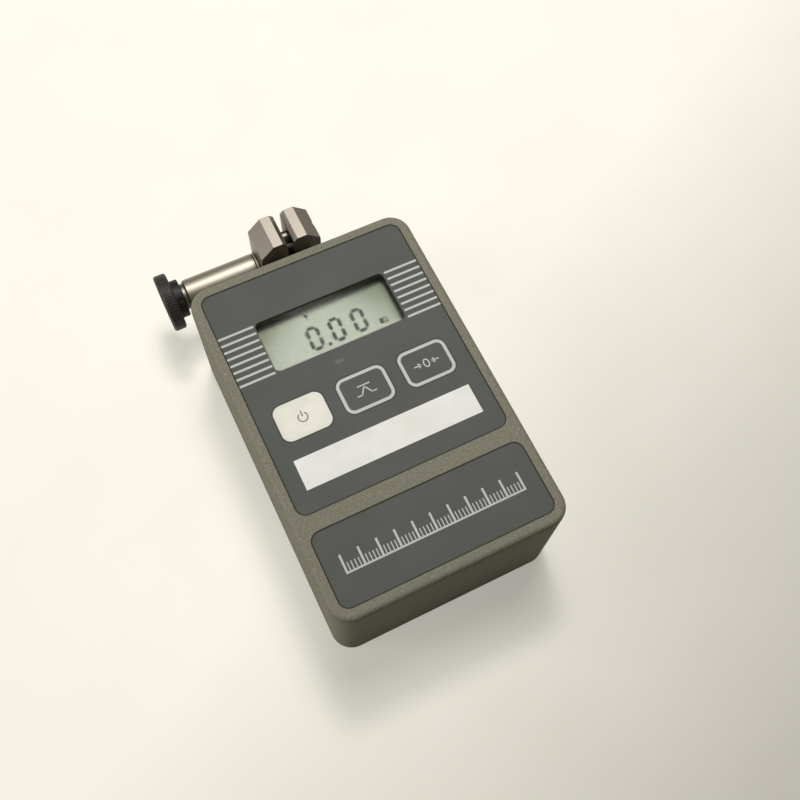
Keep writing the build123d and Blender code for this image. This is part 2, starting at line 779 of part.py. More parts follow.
with BuildPart() as retaining_ring:
    with BuildSketch(across_grip_line(clip_x)):
        Circle(clip_r)
        Circle(clip_groove_r + thread_gap, mode=Mode.SUBTRACT)
        with Locations((0, -clip_r)):
            Rectangle(clip_mouth, 2 * clip_r, mode=Mode.SUBTRACT)
    extrude(amount=clip_t)
save(retaining_ring, "retaining_ring")

with BuildPart() as thrust_washer:
    with BuildSketch(across_grip_line(tube_x - end_gap - washer_t)):
        Circle(washer_r)
        Circle(screw_r + thread_gap, mode=Mode.SUBTRACT)
    extrude(amount=washer_t)
save(thrust_washer, "thrust_washer")

# Turned blank with a dished outer face and a hub, straight knurl cut round the rim.
grub_in_r = screw_r + thread_gap
with BuildPart() as thumb_knob:
    with BuildSketch(grip_section):
        with BuildLine():
            Polyline((knob_x + knob_dish_depth, 0), (knob_x + knob_dish_depth, knob_dish_r - knob_dish_depth),
                     (knob_x, knob_dish_r), (knob_x, knob_r - knob_chamfer), (knob_x + knob_chamfer, knob_r),
                     (hub_x - knob_chamfer, knob_r), (hub_x, knob_r - knob_chamfer), (hub_x, hub_r),
                     (hub_end_x - hub_chamfer, hub_r), (hub_end_x, hub_r - hub_chamfer),
                     (hub_end_x, grub_in_r), (screw_x, grub_in_r), (screw_x, 0), close=True)
        make_face()
    revolve(axis=grip_line)
    with BuildSketch(across_grip_line(knob_x)):
        with PolarLocations(knob_r, knob_teeth):
            with BuildLine():
                Polyline((-knob_tooth_depth, 0), (knob_tooth_over, -knob_tooth_depth),
                         (knob_tooth_over, knob_tooth_depth), close=True)
            make_face()
    extrude(amount=knob_len, mode=Mode.SUBTRACT)
    grub_plane = Plane(origin=((hub_x + hub_end_x) / 2, grip_y, axis_z), x_dir=(1, 0, 0),
                       z_dir=(0, -math.cos(math.radians(grub_tilt)), math.sin(math.radians(grub_tilt))))
    with BuildSketch(grub_plane):
        Circle(grub_r)
    extrude(amount=knob_r, mode=Mode.SUBTRACT)
save(thumb_knob, "thumb_knob")

with BuildPart() as knob_grub_screw:
    with BuildSketch(grub_plane.offset(hub_r - grub_sink)):
        Circle(grub_r - thread_gap)
    extrude(amount=grub_in_r + seat_gap + grub_sink - hub_r)
    with BuildSketch(grub_plane.offset(hub_r - grub_sink)):
        RegularPolygon(grub_key_af / 2, 6, major_radius=False)
    extrude(amount=-grub_key_depth, mode=Mode.SUBTRACT)
save(knob_grub_screw, "knob_grub_screw")

# ------------------------------------------------------------------ battery, its clip and its snap
with BuildPart() as battery:
    with BuildSketch(Plane.XY.offset(battery_z)):
        with Locations((0, battery_y)):
            Rectangle(battery_w, battery_h)
    extrude(amount=battery_t)
    fillet(battery.edges().filter_by(Axis.X), battery_edge_r)
    with BuildSketch(Plane.YZ.offset(-battery_w / 2)):
        with Locations((battery_y - snap_post_dx / 2, battery_z + battery_t / 2),
                       (battery_y + snap_post_dx / 2, battery_z + battery_t / 2)):
            Circle(terminal_r)
    extrude(amount=-snap_post_h)
save(battery, "battery")

with BuildPart() as battery_snap:
    with BuildSketch(Plane.YZ.offset(-battery_w / 2 - seat_gap)):
        with Locations((battery_y, battery_z + battery_t / 2)):
            SlotOverall(battery_h - 2 * snap_rim, 2 * (snap_post_r + snap_rim))
    extrude(amount=-(snap_post_h + snap_t))
    with BuildSketch(Plane.YZ.offset(-battery_w / 2)):
        with Locations((battery_y - snap_post_dx / 2, battery_z + battery_t / 2),
                       (battery_y + snap_post_dx / 2, battery_z + battery_t / 2)):
            Circle(snap_post_r)
    extrude(amount=-(snap_post_h + seat_gap), mode=Mode.SUBTRACT)
save(battery_snap, "battery_snap")

# sprung strap: a base riveted to the cover and two arms that hug the battery
clip_in = battery_h / 2 + seat_gap
with BuildPart() as battery_clip:
    with BuildSketch(Plane.YZ.offset(-clip_w / 2)):
        with BuildLine():
            Polyline((battery_y - clip_in - clip_sheet, cover_t),
                     (battery_y + clip_in + clip_sheet, cover_t),
                     (battery_y + clip_in + clip_sheet, cover_t + clip_arm),
                     (battery_y + clip_in, cover_t + clip_arm),
                     (battery_y + clip_in, cover_t + clip_sheet),
                     (battery_y - clip_in, cover_t + clip_sheet),
                     (battery_y - clip_in, cover_t + clip_arm),
                     (battery_y - clip_in - clip_sheet, cover_t + clip_arm), close=True)
        make_face()
    extrude(amount=clip_w)
    with BuildSketch(Plane.XY.offset(cover_t)):
        with Locations((0, battery_y)):
            Circle(rivet_r)
    extrude(amount=free_gap - cover_t)
save(battery_clip, "battery_clip")

# ------------------------------------------------------------------ charger jack
jack_front_x = body_w / 2 - wall - free_gap
with BuildPart() as charger_jack:
    with BuildSketch(Plane.YZ.offset(jack_front_x)):
        with Locations((jack_y, jack_z)):
            Rectangle(jack_w, jack_h)
    extrude(amount=-jack_l)
    with BuildSketch(Plane.YZ.offset(jack_front_x)):
        with Locations((jack_y, jack_z)):
            Circle(jack_barrel_r)
    extrude(amount=body_w / 2 - jack_front_x - seat_gap)
    with BuildSketch(Plane.YZ.offset(jack_front_x - jack_l + jack_floor)):
        with Locations((jack_y, jack_z)):
            Circle(jack_bore_r)
            Circle(jack_pin_r, mode=Mode.SUBTRACT)
    extrude(amount=jack_l + wall, mode=Mode.SUBTRACT)
save(charger_jack, "charger_jack")
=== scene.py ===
# %% [markdown]
# # A hand-held force gauge with a film grip
# The object is a small painted metal case with a display, three keys and two sunk overlays. A load
# shaft leaves its top end and carries a grip: two steel jaws, drawn together by a thumb screw that
# runs through a nickel tube. The CAD model gives every solid its size and its place. This lesson
# gives the solids their finishes and adds what is too fine for CAD: print, display segments, screw
# recesses and the thread of the screw.

import math

import bmesh
import bpy
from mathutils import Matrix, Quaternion, Vector


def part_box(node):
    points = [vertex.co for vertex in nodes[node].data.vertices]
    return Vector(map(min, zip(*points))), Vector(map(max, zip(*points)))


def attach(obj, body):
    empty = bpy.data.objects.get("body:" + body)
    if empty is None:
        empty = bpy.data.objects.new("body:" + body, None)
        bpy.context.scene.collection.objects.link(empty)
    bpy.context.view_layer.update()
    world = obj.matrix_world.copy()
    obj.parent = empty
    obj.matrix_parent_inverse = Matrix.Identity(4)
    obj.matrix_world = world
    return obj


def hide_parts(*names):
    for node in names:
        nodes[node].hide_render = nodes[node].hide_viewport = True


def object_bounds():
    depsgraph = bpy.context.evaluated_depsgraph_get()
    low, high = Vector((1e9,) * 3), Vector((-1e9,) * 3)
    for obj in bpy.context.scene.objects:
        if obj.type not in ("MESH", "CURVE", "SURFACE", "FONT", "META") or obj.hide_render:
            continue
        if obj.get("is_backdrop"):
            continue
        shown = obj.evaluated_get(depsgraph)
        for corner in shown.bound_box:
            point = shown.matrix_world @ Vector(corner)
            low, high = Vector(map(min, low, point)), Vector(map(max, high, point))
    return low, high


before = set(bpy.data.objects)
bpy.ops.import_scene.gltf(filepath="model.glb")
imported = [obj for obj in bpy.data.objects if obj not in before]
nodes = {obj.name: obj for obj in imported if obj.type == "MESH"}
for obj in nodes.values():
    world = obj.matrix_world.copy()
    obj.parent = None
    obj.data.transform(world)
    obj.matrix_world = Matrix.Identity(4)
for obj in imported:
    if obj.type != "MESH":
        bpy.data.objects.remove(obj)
cad_low, cad_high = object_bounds()
cad_size = [round(1000 * (b - a), 2) for a, b in zip(cad_low, cad_high)]
print(len(nodes), "CAD pieces in a box of", cad_size, "mm")

# %% [markdown]
# ## Units and helpers for materials
# The CAD frame is in metres, and the gauge is easier to think of in millimetres, so lengths below
# are millimetres times MM. A colour is given in sRGB, while shaders want linear light, so
# `paint` turns one into the other. Each finish is one Principled shader fed by procedural patterns
# on Object coordinates. Every piece sits at the origin, so those coordinates are real places on the
# gauge, and a grain of half a millimetre stays half a millimetre on every piece.

# %% Helpers for materials
MM = 0.001
tube_low, tube_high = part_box("spacer_tube")
GRIP_LINE = (tube_low + tube_high) / 2


def paint(red, green, blue):
    """Linear colour of an sRGB colour given in 0-255."""
    parts = [v / 255 for v in (red, green, blue)]
    return tuple(p / 12.92 if p < 0.04045 else ((p + 0.055) / 1.055) ** 2.4 for p in parts) + (1.0,)


class Finish:
    """A material with one Principled shader, and short ways to feed it."""

    def __init__(self, name, rough=0.5, metal=0.0, mirror=0.5):
        self.material = bpy.data.materials.new(name)
        self.material.use_nodes = True
        self.tree = self.material.node_tree
        self.tree.nodes.clear()
        self.output = self.tree.nodes.new("ShaderNodeOutputMaterial")
        self.shader = self.tree.nodes.new("ShaderNodeBsdfPrincipled")
        self.link(self.shader.outputs[0], self.output.inputs["Surface"])
        self.shader.inputs["Roughness"].default_value = rough
        self.shader.inputs["Metallic"].default_value = metal
        self.shader.inputs["Specular IOR Level"].default_value = mirror
        self.coords = self.tree.nodes.new("ShaderNodeTexCoord").outputs["Object"]

    def link(self, source, target):
        self.tree.links.new(source, target)

    def put(self, socket, value):
        if hasattr(value, "is_linked"):
            self.link(value, socket)
        else:
            socket.default_value = value

    def stretched(self, x, y, z, place=(0, 0, 0)):
        """Object coordinates about a place, multiplied per axis, to draw a pattern out into a grain."""
        node = self.tree.nodes.new("ShaderNodeMapping")
        node.inputs["Scale"].default_value = (x, y, z)
        node.inputs["Location"].default_value = [-p * s for p, s in zip(place, (x, y, z))]
        self.link(self.coords, node.inputs["Vector"])
        return node.outputs[0]

    def noise(self, size, detail=2.0, rough=0.5, coords=None):
        """Soft random pattern with spots about size millimetres wide."""
        node = self.tree.nodes.new("ShaderNodeTexNoise")
        node.inputs["Scale"].default_value = 1 / (size * MM) if coords is None else 1 / size
        node.inputs["Detail"].default_value = detail
        node.inputs["Roughness"].default_value = rough
        self.link(self.coords if coords is None else coords, node.inputs["Vector"])
        return node.outputs["Fac"]

    def ramp(self, value, low, high, start=0.0, end=1.0):
        """Value between low and high, spread over start to end."""
        node = self.tree.nodes.new("ShaderNodeMapRange")
        for name, number in (("From Min", low), ("From Max", high), ("To Min", start), ("To Max", end)):
            node.inputs[name].default_value = number
        self.link(value, node.inputs["Value"])
        return node.outputs[0]

    def mix(self, share, first, second):
        """Colour between first and second."""
        node = self.tree.nodes.new("ShaderNodeMix")
        node.data_type = "RGBA"
        sockets = [s for s in node.inputs if s.type == "RGBA"]
        self.put(node.inputs[0], share)
        self.put(sockets[0], first)
        self.put(sockets[1], second)
        return [s for s in node.outputs if s.type == "RGBA"][0]

    def axis(self, name):
        """One coordinate of the point, in metres."""
        node = self.tree.nodes.new("ShaderNodeSeparateXYZ")
        self.link(self.coords, node.inputs[0])
        return node.outputs[name]

    def from_grip_line(self):
        """Distance from the line that the tube, the screw and the knob share, in metres."""
        aside = self.math("SUBTRACT", self.axis("Y"), GRIP_LINE.y)
        above = self.math("SUBTRACT", self.axis("Z"), GRIP_LINE.z)
        square = self.math("ADD", self.math("POWER", aside, 2.0), self.math("POWER", above, 2.0))
        return self.math("SQRT", square, 0.0)

    def math(self, way, first, second):
        node = self.tree.nodes.new("ShaderNodeMath")
        node.operation = way
        self.put(node.inputs[0], first)
        self.put(node.inputs[1], second)
        return node.outputs[0]

    def colour(self, value):
        self.put(self.shader.inputs["Base Color"], value)

    def rough(self, value):
        self.put(self.shader.inputs["Roughness"], value)

    def bump(self, height, depth, strength=1.0):
        """Relief of depth millimetres, drawn by the shader."""
        node = self.tree.nodes.new("ShaderNodeBump")
        node.inputs["Distance"].default_value = depth * MM
        node.inputs["Strength"].default_value = strength
        self.link(height, node.inputs["Height"])
        self.link(node.outputs[0], self.shader.inputs["Normal"])


def dress(finish, *names):
    """Give CAD pieces a finish."""
    for name in names:
        for slot in nodes[name].material_slots:
            slot.material = finish.material
    print(finish.material.name, "on", ", ".join(names))


# %% [markdown]
# ## The paint on the case
# The case is a die casting in olive grey hammered paint. Such paint dries into tiny pits and
# crests, with light and dark grains in it. The pits could be real displacement, but at a few
# hundredths of a millimetre they only matter for how the light breaks up, so bump is enough. Two
# noises make the colour: a fine one for the grains and a wide one for the uneven coat.

# %% Hammered paint
case_paint = Finish("hammered_olive_paint", mirror=0.12)
grain = case_paint.noise(0.38, detail=3.0, rough=0.65)
coat = case_paint.noise(28.0, detail=2.0)
olive = case_paint.mix(case_paint.ramp(grain, 0.34, 0.66), paint(116, 114, 99), paint(145, 143, 127))
pale_flecks = case_paint.ramp(case_paint.noise(0.4, detail=1.0), 0.60, 0.68, 0.0, 0.6)
olive = case_paint.mix(pale_flecks, olive, paint(168, 166, 148))
dark_flecks = case_paint.ramp(case_paint.noise(0.7, detail=2.0), 0.34, 0.27, 0.0, 0.4)
olive = case_paint.mix(dark_flecks, olive, paint(78, 75, 62))
olive = case_paint.mix(case_paint.ramp(coat, 0.35, 0.65, 0.0, 0.12), olive, paint(114, 111, 93))
case_paint.colour(olive)
case_paint.rough(case_paint.ramp(grain, 0.3, 0.7, 0.6, 0.78))
case_paint.bump(grain, 0.08, 0.9)
dress(case_paint, "front_housing", "back_cover")

# %% [markdown]
# ## The overlays
# Both overlays are slate grey plastic film with a fine matt tooth, stuck into shallow recesses. A
# film like this shows three things in use: a faint cloudiness where fingers have polished it, hair
# scratches, and here one pale scuff above the middle key. The scratches are a noise drawn out a
# hundredfold along a slanted line, cut to its thinnest crests.

# %% Slate overlay film
film = Finish("slate_overlay_film", mirror=0.3)
tooth = film.noise(0.13, detail=2.0)
clouds = film.noise(17.0, detail=3.0)
slate = film.mix(film.ramp(clouds, 0.3, 0.7), paint(78, 81, 77), paint(83, 86, 81))
slate = film.mix(film.ramp(tooth, 0.3, 0.7, 0.0, 0.25), slate, paint(94, 96, 90))
hairs = film.noise(1.0, detail=1.0, coords=film.stretched(900.0, 22.0, 60.0))
slate = film.mix(film.ramp(hairs, 0.74, 0.80, 0.0, 0.10), slate, paint(160, 160, 156))
SCUFF = Vector((-3.2, 17.0, 47.6)) * MM
scuff_shape = film.tree.nodes.new("ShaderNodeTexGradient")
scuff_shape.gradient_type = "SPHERICAL"
film.link(film.stretched(420.0, 900.0, 900.0, SCUFF), scuff_shape.inputs[0])
scuff = film.math("MULTIPLY", scuff_shape.outputs["Fac"], film.ramp(film.noise(0.35), 0.35, 0.6))
slate = film.mix(film.math("MULTIPLY", scuff, 0.35), slate, paint(188, 188, 184))
film.colour(slate)
film.rough(film.ramp(clouds, 0.3, 0.7, 0.56, 0.66))
film.bump(tooth, 0.006, 0.5)
dress(film, "upper_label", "lower_label", "power_key", "hold_key", "zero_key")

# %% [markdown]
# ## Print, key cap and blank plate
# The print on the film is one light grey ink. The power key is the same film printed ivory, and the
# white plate is a vinyl sticker, left bare. All three are nearly flat in colour, so their detail is
# the uneven ink, the tooth of the film under it and, on the vinyl, a faint yellowing.

# %% Print, ivory and vinyl
ink = Finish("light_grey_print")
ink_spots = ink.noise(0.3, detail=2.0)
ink.colour(ink.mix(ink.ramp(ink_spots, 0.3, 0.7), paint(178, 180, 177), paint(194, 196, 192)))
ink.rough(ink.ramp(ink_spots, 0.3, 0.7, 0.42, 0.52))
ink.bump(ink_spots, 0.004, 0.4)

ivory = Finish("ivory_key_print", mirror=0.35)
ivory_wear = ivory.noise(5.0, detail=3.0)
ivory.colour(ivory.mix(ivory.ramp(ivory_wear, 0.35, 0.7), paint(242, 240, 228), paint(234, 232, 218)))
ivory.rough(ivory.ramp(ivory_wear, 0.3, 0.7, 0.5, 0.6))
ivory.bump(ivory.noise(0.13), 0.006, 0.5)

vinyl = Finish("white_vinyl", mirror=0.35)
vinyl_tone = vinyl.noise(9.0, detail=3.0)
vinyl.colour(vinyl.mix(vinyl.ramp(vinyl_tone, 0.35, 0.7), paint(244, 243, 240), paint(238, 237, 231)))
vinyl.rough(vinyl.ramp(vinyl_tone, 0.3, 0.7, 0.5, 0.62))
vinyl.bump(vinyl.noise(0.6, detail=2.0), 0.006, 0.5)
dress(vinyl, "blank_plate")

# %% [markdown]
# ## The display
# A reflective liquid-crystal glass looks like pale grey-green metal leaf under glass: it is the
# reflector behind the crystal that shows. A fine sparkle makes it. A painted reflection lies on it:
# a slow drift of tone, lighter on the left and darker to the right. A painted shadow of the window
# frame lies along its top and right edges. The segments are a darker grey-green. The window over it
# is clear acrylic. As it is thin and flat, a Transparent shader with a Fresnel share of gloss shows
# the same as real glass, and the light reaches the display without caustics. The gloss sits on the
# outer face alone: straight rays inside the pane would otherwise meet the inner face as a mirror when
# seen from low down. The reflector has a thin coat of gloss too, so a lamp draws an arc on it, while
# the segments stay matt.

# %% Display glass, segments and window
display = Finish("display_reflector", mirror=0.2)
sparkle = display.noise(0.25, detail=1.0)
# Painted reflection: the leaf is drawn a little lighter on the left and darker towards the right.
painted_reflection_drift = display.ramp(display.axis("X"), -24 * MM, 24 * MM)
leaf = display.mix(painted_reflection_drift, paint(124, 132, 102), paint(118, 128, 100))
leaf = display.mix(display.ramp(sparkle, 0.3, 0.7, 0.0, 0.15), leaf, paint(108, 116, 88))
# Painted shadow of the window frame: a dark band along the top edge and the right edge of the display.
painted_frame_shadow_top = display.ramp(display.axis("Y"), 38.0 * MM, 40.8 * MM, 0.0, 0.8)
painted_frame_shadow_side = display.ramp(display.axis("X"), 20.2 * MM, 23.4 * MM, 0.0, 0.5)
leaf = display.mix(display.math("MAXIMUM", painted_frame_shadow_top, painted_frame_shadow_side), leaf, paint(56, 60, 52))
display.colour(leaf)
display.rough(display.ramp(sparkle, 0.3, 0.7, 0.50, 0.62))
display.bump(sparkle, 0.004, 0.3)
display.shader.inputs["Coat Weight"].default_value = 0.17
display.shader.inputs["Coat Roughness"].default_value = 0.1
dress(display, "lcd_glass")

segment = Finish("display_segment", mirror=0.1)
segment_tone = segment.noise(0.5)
segment.colour(segment.mix(segment_tone, paint(48, 56, 42), paint(58, 66, 50)))
segment.rough(segment.ramp(segment_tone, 0.3, 0.7, 0.5, 0.6))

window = Finish("clear_window", rough=0.06)
clear = window.tree.nodes.new("ShaderNodeBsdfTransparent")
clear.inputs[0].default_value = (0.99, 1.0, 0.99, 1.0)
gloss = window.tree.nodes.new("ShaderNodeBsdfGlossy")
window.put(gloss.inputs["Roughness"], window.ramp(window.noise(14.0, detail=3.0), 0.3, 0.7, 0.05, 0.08))
sheen = window.tree.nodes.new("ShaderNodeFresnel")
sheen.inputs["IOR"].default_value = 1.11
lens_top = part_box("window_lens")[1].z
outer_face = window.ramp(window.axis("Z"), lens_top - 0.1 * MM, lens_top - 0.05 * MM)
pane = window.tree.nodes.new("ShaderNodeMixShader")
window.link(window.math("MULTIPLY", sheen.outputs[0], outer_face), pane.inputs[0])
window.link(clear.outputs[0], pane.inputs[1])
window.link(gloss.outputs[0], pane.inputs[2])
window.link(pane.outputs[0], window.output.inputs["Surface"])
window.tree.nodes.remove(window.shader)
dress(window, "window_lens")

# %% [markdown]
# ## Metal finishes
# The jaws, shaft and nuts are stainless steel, and the pins and the clamp screw are darker, blued
# steel. The jaws are ground: a grinding wheel leaves fine parallel lines, drawn here by a noise
# stretched along the jaws. The tube and its ring are bright nickel plate over turned steel, so their
# lines run round the axis and only change along it. Metal gets its look from what it mirrors, so the
# base colour stays plain and the lines work mostly on roughness and bump.

# %% Ground steel, turned nickel, plain steel
def lined_metal(name, low, high, stretch, rough, relief):
    """Metal with fine lines: a noise drawn out by stretch, in roughness and relief."""
    metal = Finish(name, metal=1.0)
    lines = metal.noise(1.0, detail=3.0, rough=0.6, coords=metal.stretched(*stretch))
    stains = metal.noise(6.0, detail=3.0)
    tone = metal.mix(metal.ramp(lines, 0.3, 0.7), low, high)
    metal.colour(metal.mix(metal.ramp(stains, 0.5, 0.75, 0.0, 0.25), tone, low))
    metal.rough(metal.ramp(lines, 0.25, 0.75, *rough))
    metal.bump(lines, relief, 0.6)
    return metal


ground_steel = lined_metal("ground_steel", paint(124, 118, 110), paint(148, 142, 132),
                           (7000.0, 7000.0, 160.0), (0.40, 0.52), 0.004)
dress(ground_steel, "fixed_jaw", "moving_jaw", "thrust_washer")
turned_nickel = lined_metal("turned_nickel", paint(172, 166, 150), paint(182, 176, 161),
                            (5000.0, 40.0, 40.0), (0.46, 0.54), 0.0008)
dress(turned_nickel, "spacer_tube", "tube_ring")
plain_steel = lined_metal("plain_steel", paint(158, 154, 148), paint(184, 180, 174),
                          (3000.0, 3000.0, 3000.0), (0.28, 0.42), 0.004)
dress(plain_steel, "load_shaft", "cell_nut", "foot_nut", "cell_bolt", "board_screws", "battery_clip",
      "anchor_screws", "cover_screws")
gun_steel = lined_metal("blued_steel", paint(98, 94, 88), paint(120, 116, 108), (3000.0, 3000.0, 3000.0),
                        (0.34, 0.46), 0.004)
dress(gun_steel, "guide_pins", "clamp_screw", "retaining_ring", "knob_grub_screw")
alloy = lined_metal("machined_alloy", paint(186, 188, 190), paint(208, 210, 212),
                    (400.0, 6000.0, 400.0), (0.32, 0.46), 0.005)
dress(alloy, "load_cell", "cell_anchor")

# %% [markdown]
# ## The thumb knob
# The knob is black anodised metal. Anodising is a thin hard layer, matt in the body of the metal.
# A small noise sets both the tone and the gloss. The teeth of the knurl are real geometry from the
# CAD model. Round grooves cut them into short blocks, and those are drawn here in relief and with
# painted light: the angle about the screw line finds the valleys between the teeth, a sine along the
# line finds the columns, and where both meet lies a pit of painted shade. Every crest on the rim gets
# a painted highlight, a paler tone.

# %% Black knob
black = Finish("black_anodised", mirror=0.4)
rub = black.noise(0.7, detail=3.0)
knob_black = black.mix(black.ramp(rub, 0.35, 0.7), paint(20, 20, 19), paint(34, 33, 31))
RIM_R = 10.3 * MM
TEETH = 60
COLUMN_PITCH = 1.1 * MM
aside = black.math("SUBTRACT", black.axis("Y"), GRIP_LINE.y)
above = black.math("SUBTRACT", black.axis("Z"), GRIP_LINE.z)
turn = black.math("MULTIPLY", black.math("ARCTAN2", above, aside), float(TEETH))
valley = black.ramp(black.math("COSINE", turn, 0.0), 0.35, -0.35)
wave = black.math("MULTIPLY", black.axis("X"), math.tau / COLUMN_PITCH)
column = black.ramp(black.math("SINE", wave, 0.0), -0.75, -0.25)
on_rim = black.ramp(black.from_grip_line(), RIM_R - 0.9 * MM, RIM_R - 0.5 * MM)
# Painted shade: near-black pits where the valleys between the teeth meet the columns.
painted_pit_shade = black.math("MULTIPLY", on_rim, black.math("MULTIPLY", valley, column))
crest_highlight_and_relief = black.math("SUBTRACT", on_rim, painted_pit_shade)
# Painted highlight: the crests of the rim are drawn paler.
knob_black = black.mix(black.math("MULTIPLY", crest_highlight_and_relief, 0.75), knob_black, paint(60, 58, 54))
knob_black = black.mix(painted_pit_shade, knob_black, paint(10, 10, 9))
black.colour(knob_black)
black.rough(black.ramp(rub, 0.3, 0.7, 0.46, 0.6))
black.bump(crest_highlight_and_relief, 0.12, 0.8)
dress(black, "thumb_knob")

# %% [markdown]
# ## What lies inside
# The inner pieces show only when the gauge is taken apart, yet each gets a finish of its own: green
# solder mask with a weave of glass fibre under it, moulded black plastic, rubber, and the printed
# steel can of the battery. They all come from one short function, since each is a base tone, a
# second tone and a grain of its own size.

# %% Inner finishes
def plain_finish(name, low, high, size, rough, relief, metal=0.0):
    """Two tones mixed by one grain, which also sets gloss and relief."""
    made = Finish(name, metal=metal)
    spots = made.noise(size, detail=3.0)
    made.colour(made.mix(made.ramp(spots, 0.3, 0.7), low, high))
    made.rough(made.ramp(spots, 0.3, 0.7, *rough))
    made.bump(spots, relief, 0.6)
    return made


moulded = plain_finish("moulded_black", paint(28, 28, 28), paint(40, 40, 41), 0.4, (0.42, 0.58), 0.01)
dress(moulded, "board_chips", "key_switches", "battery_snap", "charger_jack")
frame_grey = plain_finish("moulded_grey", paint(60, 62, 56), paint(72, 74, 67), 0.4, (0.5, 0.62), 0.01)
dress(frame_grey, "lcd_frame")
rubber = plain_finish("black_rubber", paint(32, 32, 33), paint(44, 43, 43), 0.25, (0.7, 0.85), 0.015)
dress(rubber, "dust_seal", "contact_strips")
mask = plain_finish("green_solder_mask", paint(20, 74, 44), paint(30, 92, 56), 0.9, (0.28, 0.4), 0.006)
dress(mask, "main_board")
foil = plain_finish("gauge_foil", paint(150, 110, 60), paint(176, 134, 78), 0.3, (0.35, 0.5), 0.003)
dress(foil, "strain_gauges")
can = plain_finish("battery_can", paint(48, 52, 60), paint(62, 66, 74), 3.0, (0.25, 0.38), 0.004)
dress(can, "battery")

# %% [markdown]
# ## Flat print as thin solids
# Stripes, key outlines, symbols and display segments are all flat figures a few hundredths of a
# millimetre thick. Image textures could carry them, but solids keep their edges sharp at any
# distance and leave as plain meshes. `flat_figure` stacks a closed outline at two heights and joins
# the two, which gives a closed prism. An outline with a hole is made as a ring of such quads.

# %% Flat figures
PRINT_T = 0.03
PRINT_SINK = 0.01


def mesh_piece(name, build, finish, body):
    """Make an object at the origin from a bmesh builder and hang it on its body."""
    shape = bmesh.new()
    build(shape)
    bmesh.ops.recalc_face_normals(shape, faces=shape.faces)
    mesh = bpy.data.meshes.new(name)
    shape.to_mesh(mesh)
    shape.free()
    mesh.materials.append(finish.material)
    piece = bpy.data.objects.new(name, mesh)
    bpy.context.scene.collection.objects.link(piece)
    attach(piece, body)
    print(name, "-", len(mesh.polygons), "faces")


def flat_figure(shape, outline, low, high):
    """Closed prism on a convex outline in millimetres."""
    rings = [[shape.verts.new(Vector((x, y, z)) * MM) for x, y in outline] for z in (low, high)]
    shape.faces.new(rings[0])
    shape.faces.new(rings[1])
    for i in range(len(outline)):
        j = (i + 1) % len(outline)
        shape.faces.new((rings[0][i], rings[0][j], rings[1][j], rings[1][i]))


def flat_ring(shape, outer, inner, low, high, closed=True):
    """Prism between two outlines with the same number of points."""
    loops = [[shape.verts.new(Vector((x, y, z)) * MM) for x, y in line]
             for line in (outer, inner) for z in (low, high)]
    outer_low, outer_high, inner_low, inner_high = loops
    last = len(outer) if closed else len(outer) - 1
    for i in range(last):
        j = (i + 1) % len(outer)
        for a, b in ((outer_low, outer_high), (outer_high, inner_high), (inner_high, inner_low),
                     (inner_low, outer_low)):
            shape.faces.new((a[i], a[j], b[j], b[i]))
    if not closed:
        for i in (0, -1):
            shape.faces.new((outer_low[i], outer_high[i], inner_high[i], inner_low[i]))


def rounded(x, y, width, height, radius, steps=8):
    """Points of a rounded rectangle about (x, y)."""
    points = []
    for turn, (sx, sy) in enumerate(((1, 1), (-1, 1), (-1, -1), (1, -1))):
        cx = x + sx * (width / 2 - radius)
        cy = y + sy * (height / 2 - radius)
        for i in range(steps + 1):
            angle = math.pi / 2 * (turn + i / steps)
            points.append((cx + radius * math.cos(angle), cy + radius * math.sin(angle)))
    return points


def arc(x, y, radius, start, end, steps=24):
    """Points of an arc, angles in degrees."""
    return [(x + radius * math.cos(math.radians(start + (end - start) * i / steps)),
             y + radius * math.sin(math.radians(start + (end - start) * i / steps)))
            for i in range(steps + 1)]


# %% [markdown]
# ## Key outlines and symbols
# Each key has a printed outline, and words would tie the part to one language, so the keys carry
# the usual instrument signs: a broken ring with a bar for power, a peak under a line for holding the
# highest reading, and a nought between two arrows for setting the display to zero. The sizes of the
# pads come from the CAD keys, so the print follows if the keys change.

# %% Key print
KEY_LINE = 1.05
KEY_CORNER_R = 3.0
KEY_FLANGE = 1.35
LAYER = 0.006
film_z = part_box("upper_label")[1].z / MM
FILM_PRINT = (film_z - PRINT_SINK, film_z + PRINT_T)


def key_place(name):
    """Centre, width and height of a key's pad, in millimetres, without the flange under it."""
    low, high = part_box(name)
    return ((low.x + high.x) / 2 / MM, (low.y + high.y) / 2 / MM,
            (high.x - low.x) / MM - 2 * KEY_FLANGE, (high.y - low.y) / MM - 2 * KEY_FLANGE)


def key_outline(name, finish):
    x, y, width, height = key_place(name)

    def build(shape):
        flat_ring(shape, rounded(x, y, width, height, KEY_CORNER_R),
                  rounded(x, y, width - 2 * KEY_LINE, height - 2 * KEY_LINE, KEY_CORNER_R - KEY_LINE),
                  *FILM_PRINT)

    mesh_piece(name + "_outline", build, finish, name)


def power_print(shape):
    x, y, width, height = key_place("power_key")
    flat_figure(shape, rounded(x, y, width - KEY_LINE, height - KEY_LINE, KEY_CORNER_R - KEY_LINE / 2),
                film_z - PRINT_SINK, film_z + PRINT_T - LAYER)


mesh_piece("power_key_print", power_print, ivory, "power_key")
ivory_rim = plain_finish("ivory_key_rim", paint(216, 214, 203), paint(226, 224, 213), 2.0,
                         (0.4, 0.5), 0.004)
key_outline("power_key", ivory_rim)
key_outline("hold_key", ink)
key_outline("zero_key", ink)
dark_ink = plain_finish("slate_print", paint(84, 84, 80), paint(98, 98, 94), 0.3, (0.42, 0.52), 0.004)

POWER_R = 1.75
POWER_ARC = (125, 415)
ZERO_W, ZERO_H = 1.1, 1.6
SIGN_LINE = 0.42


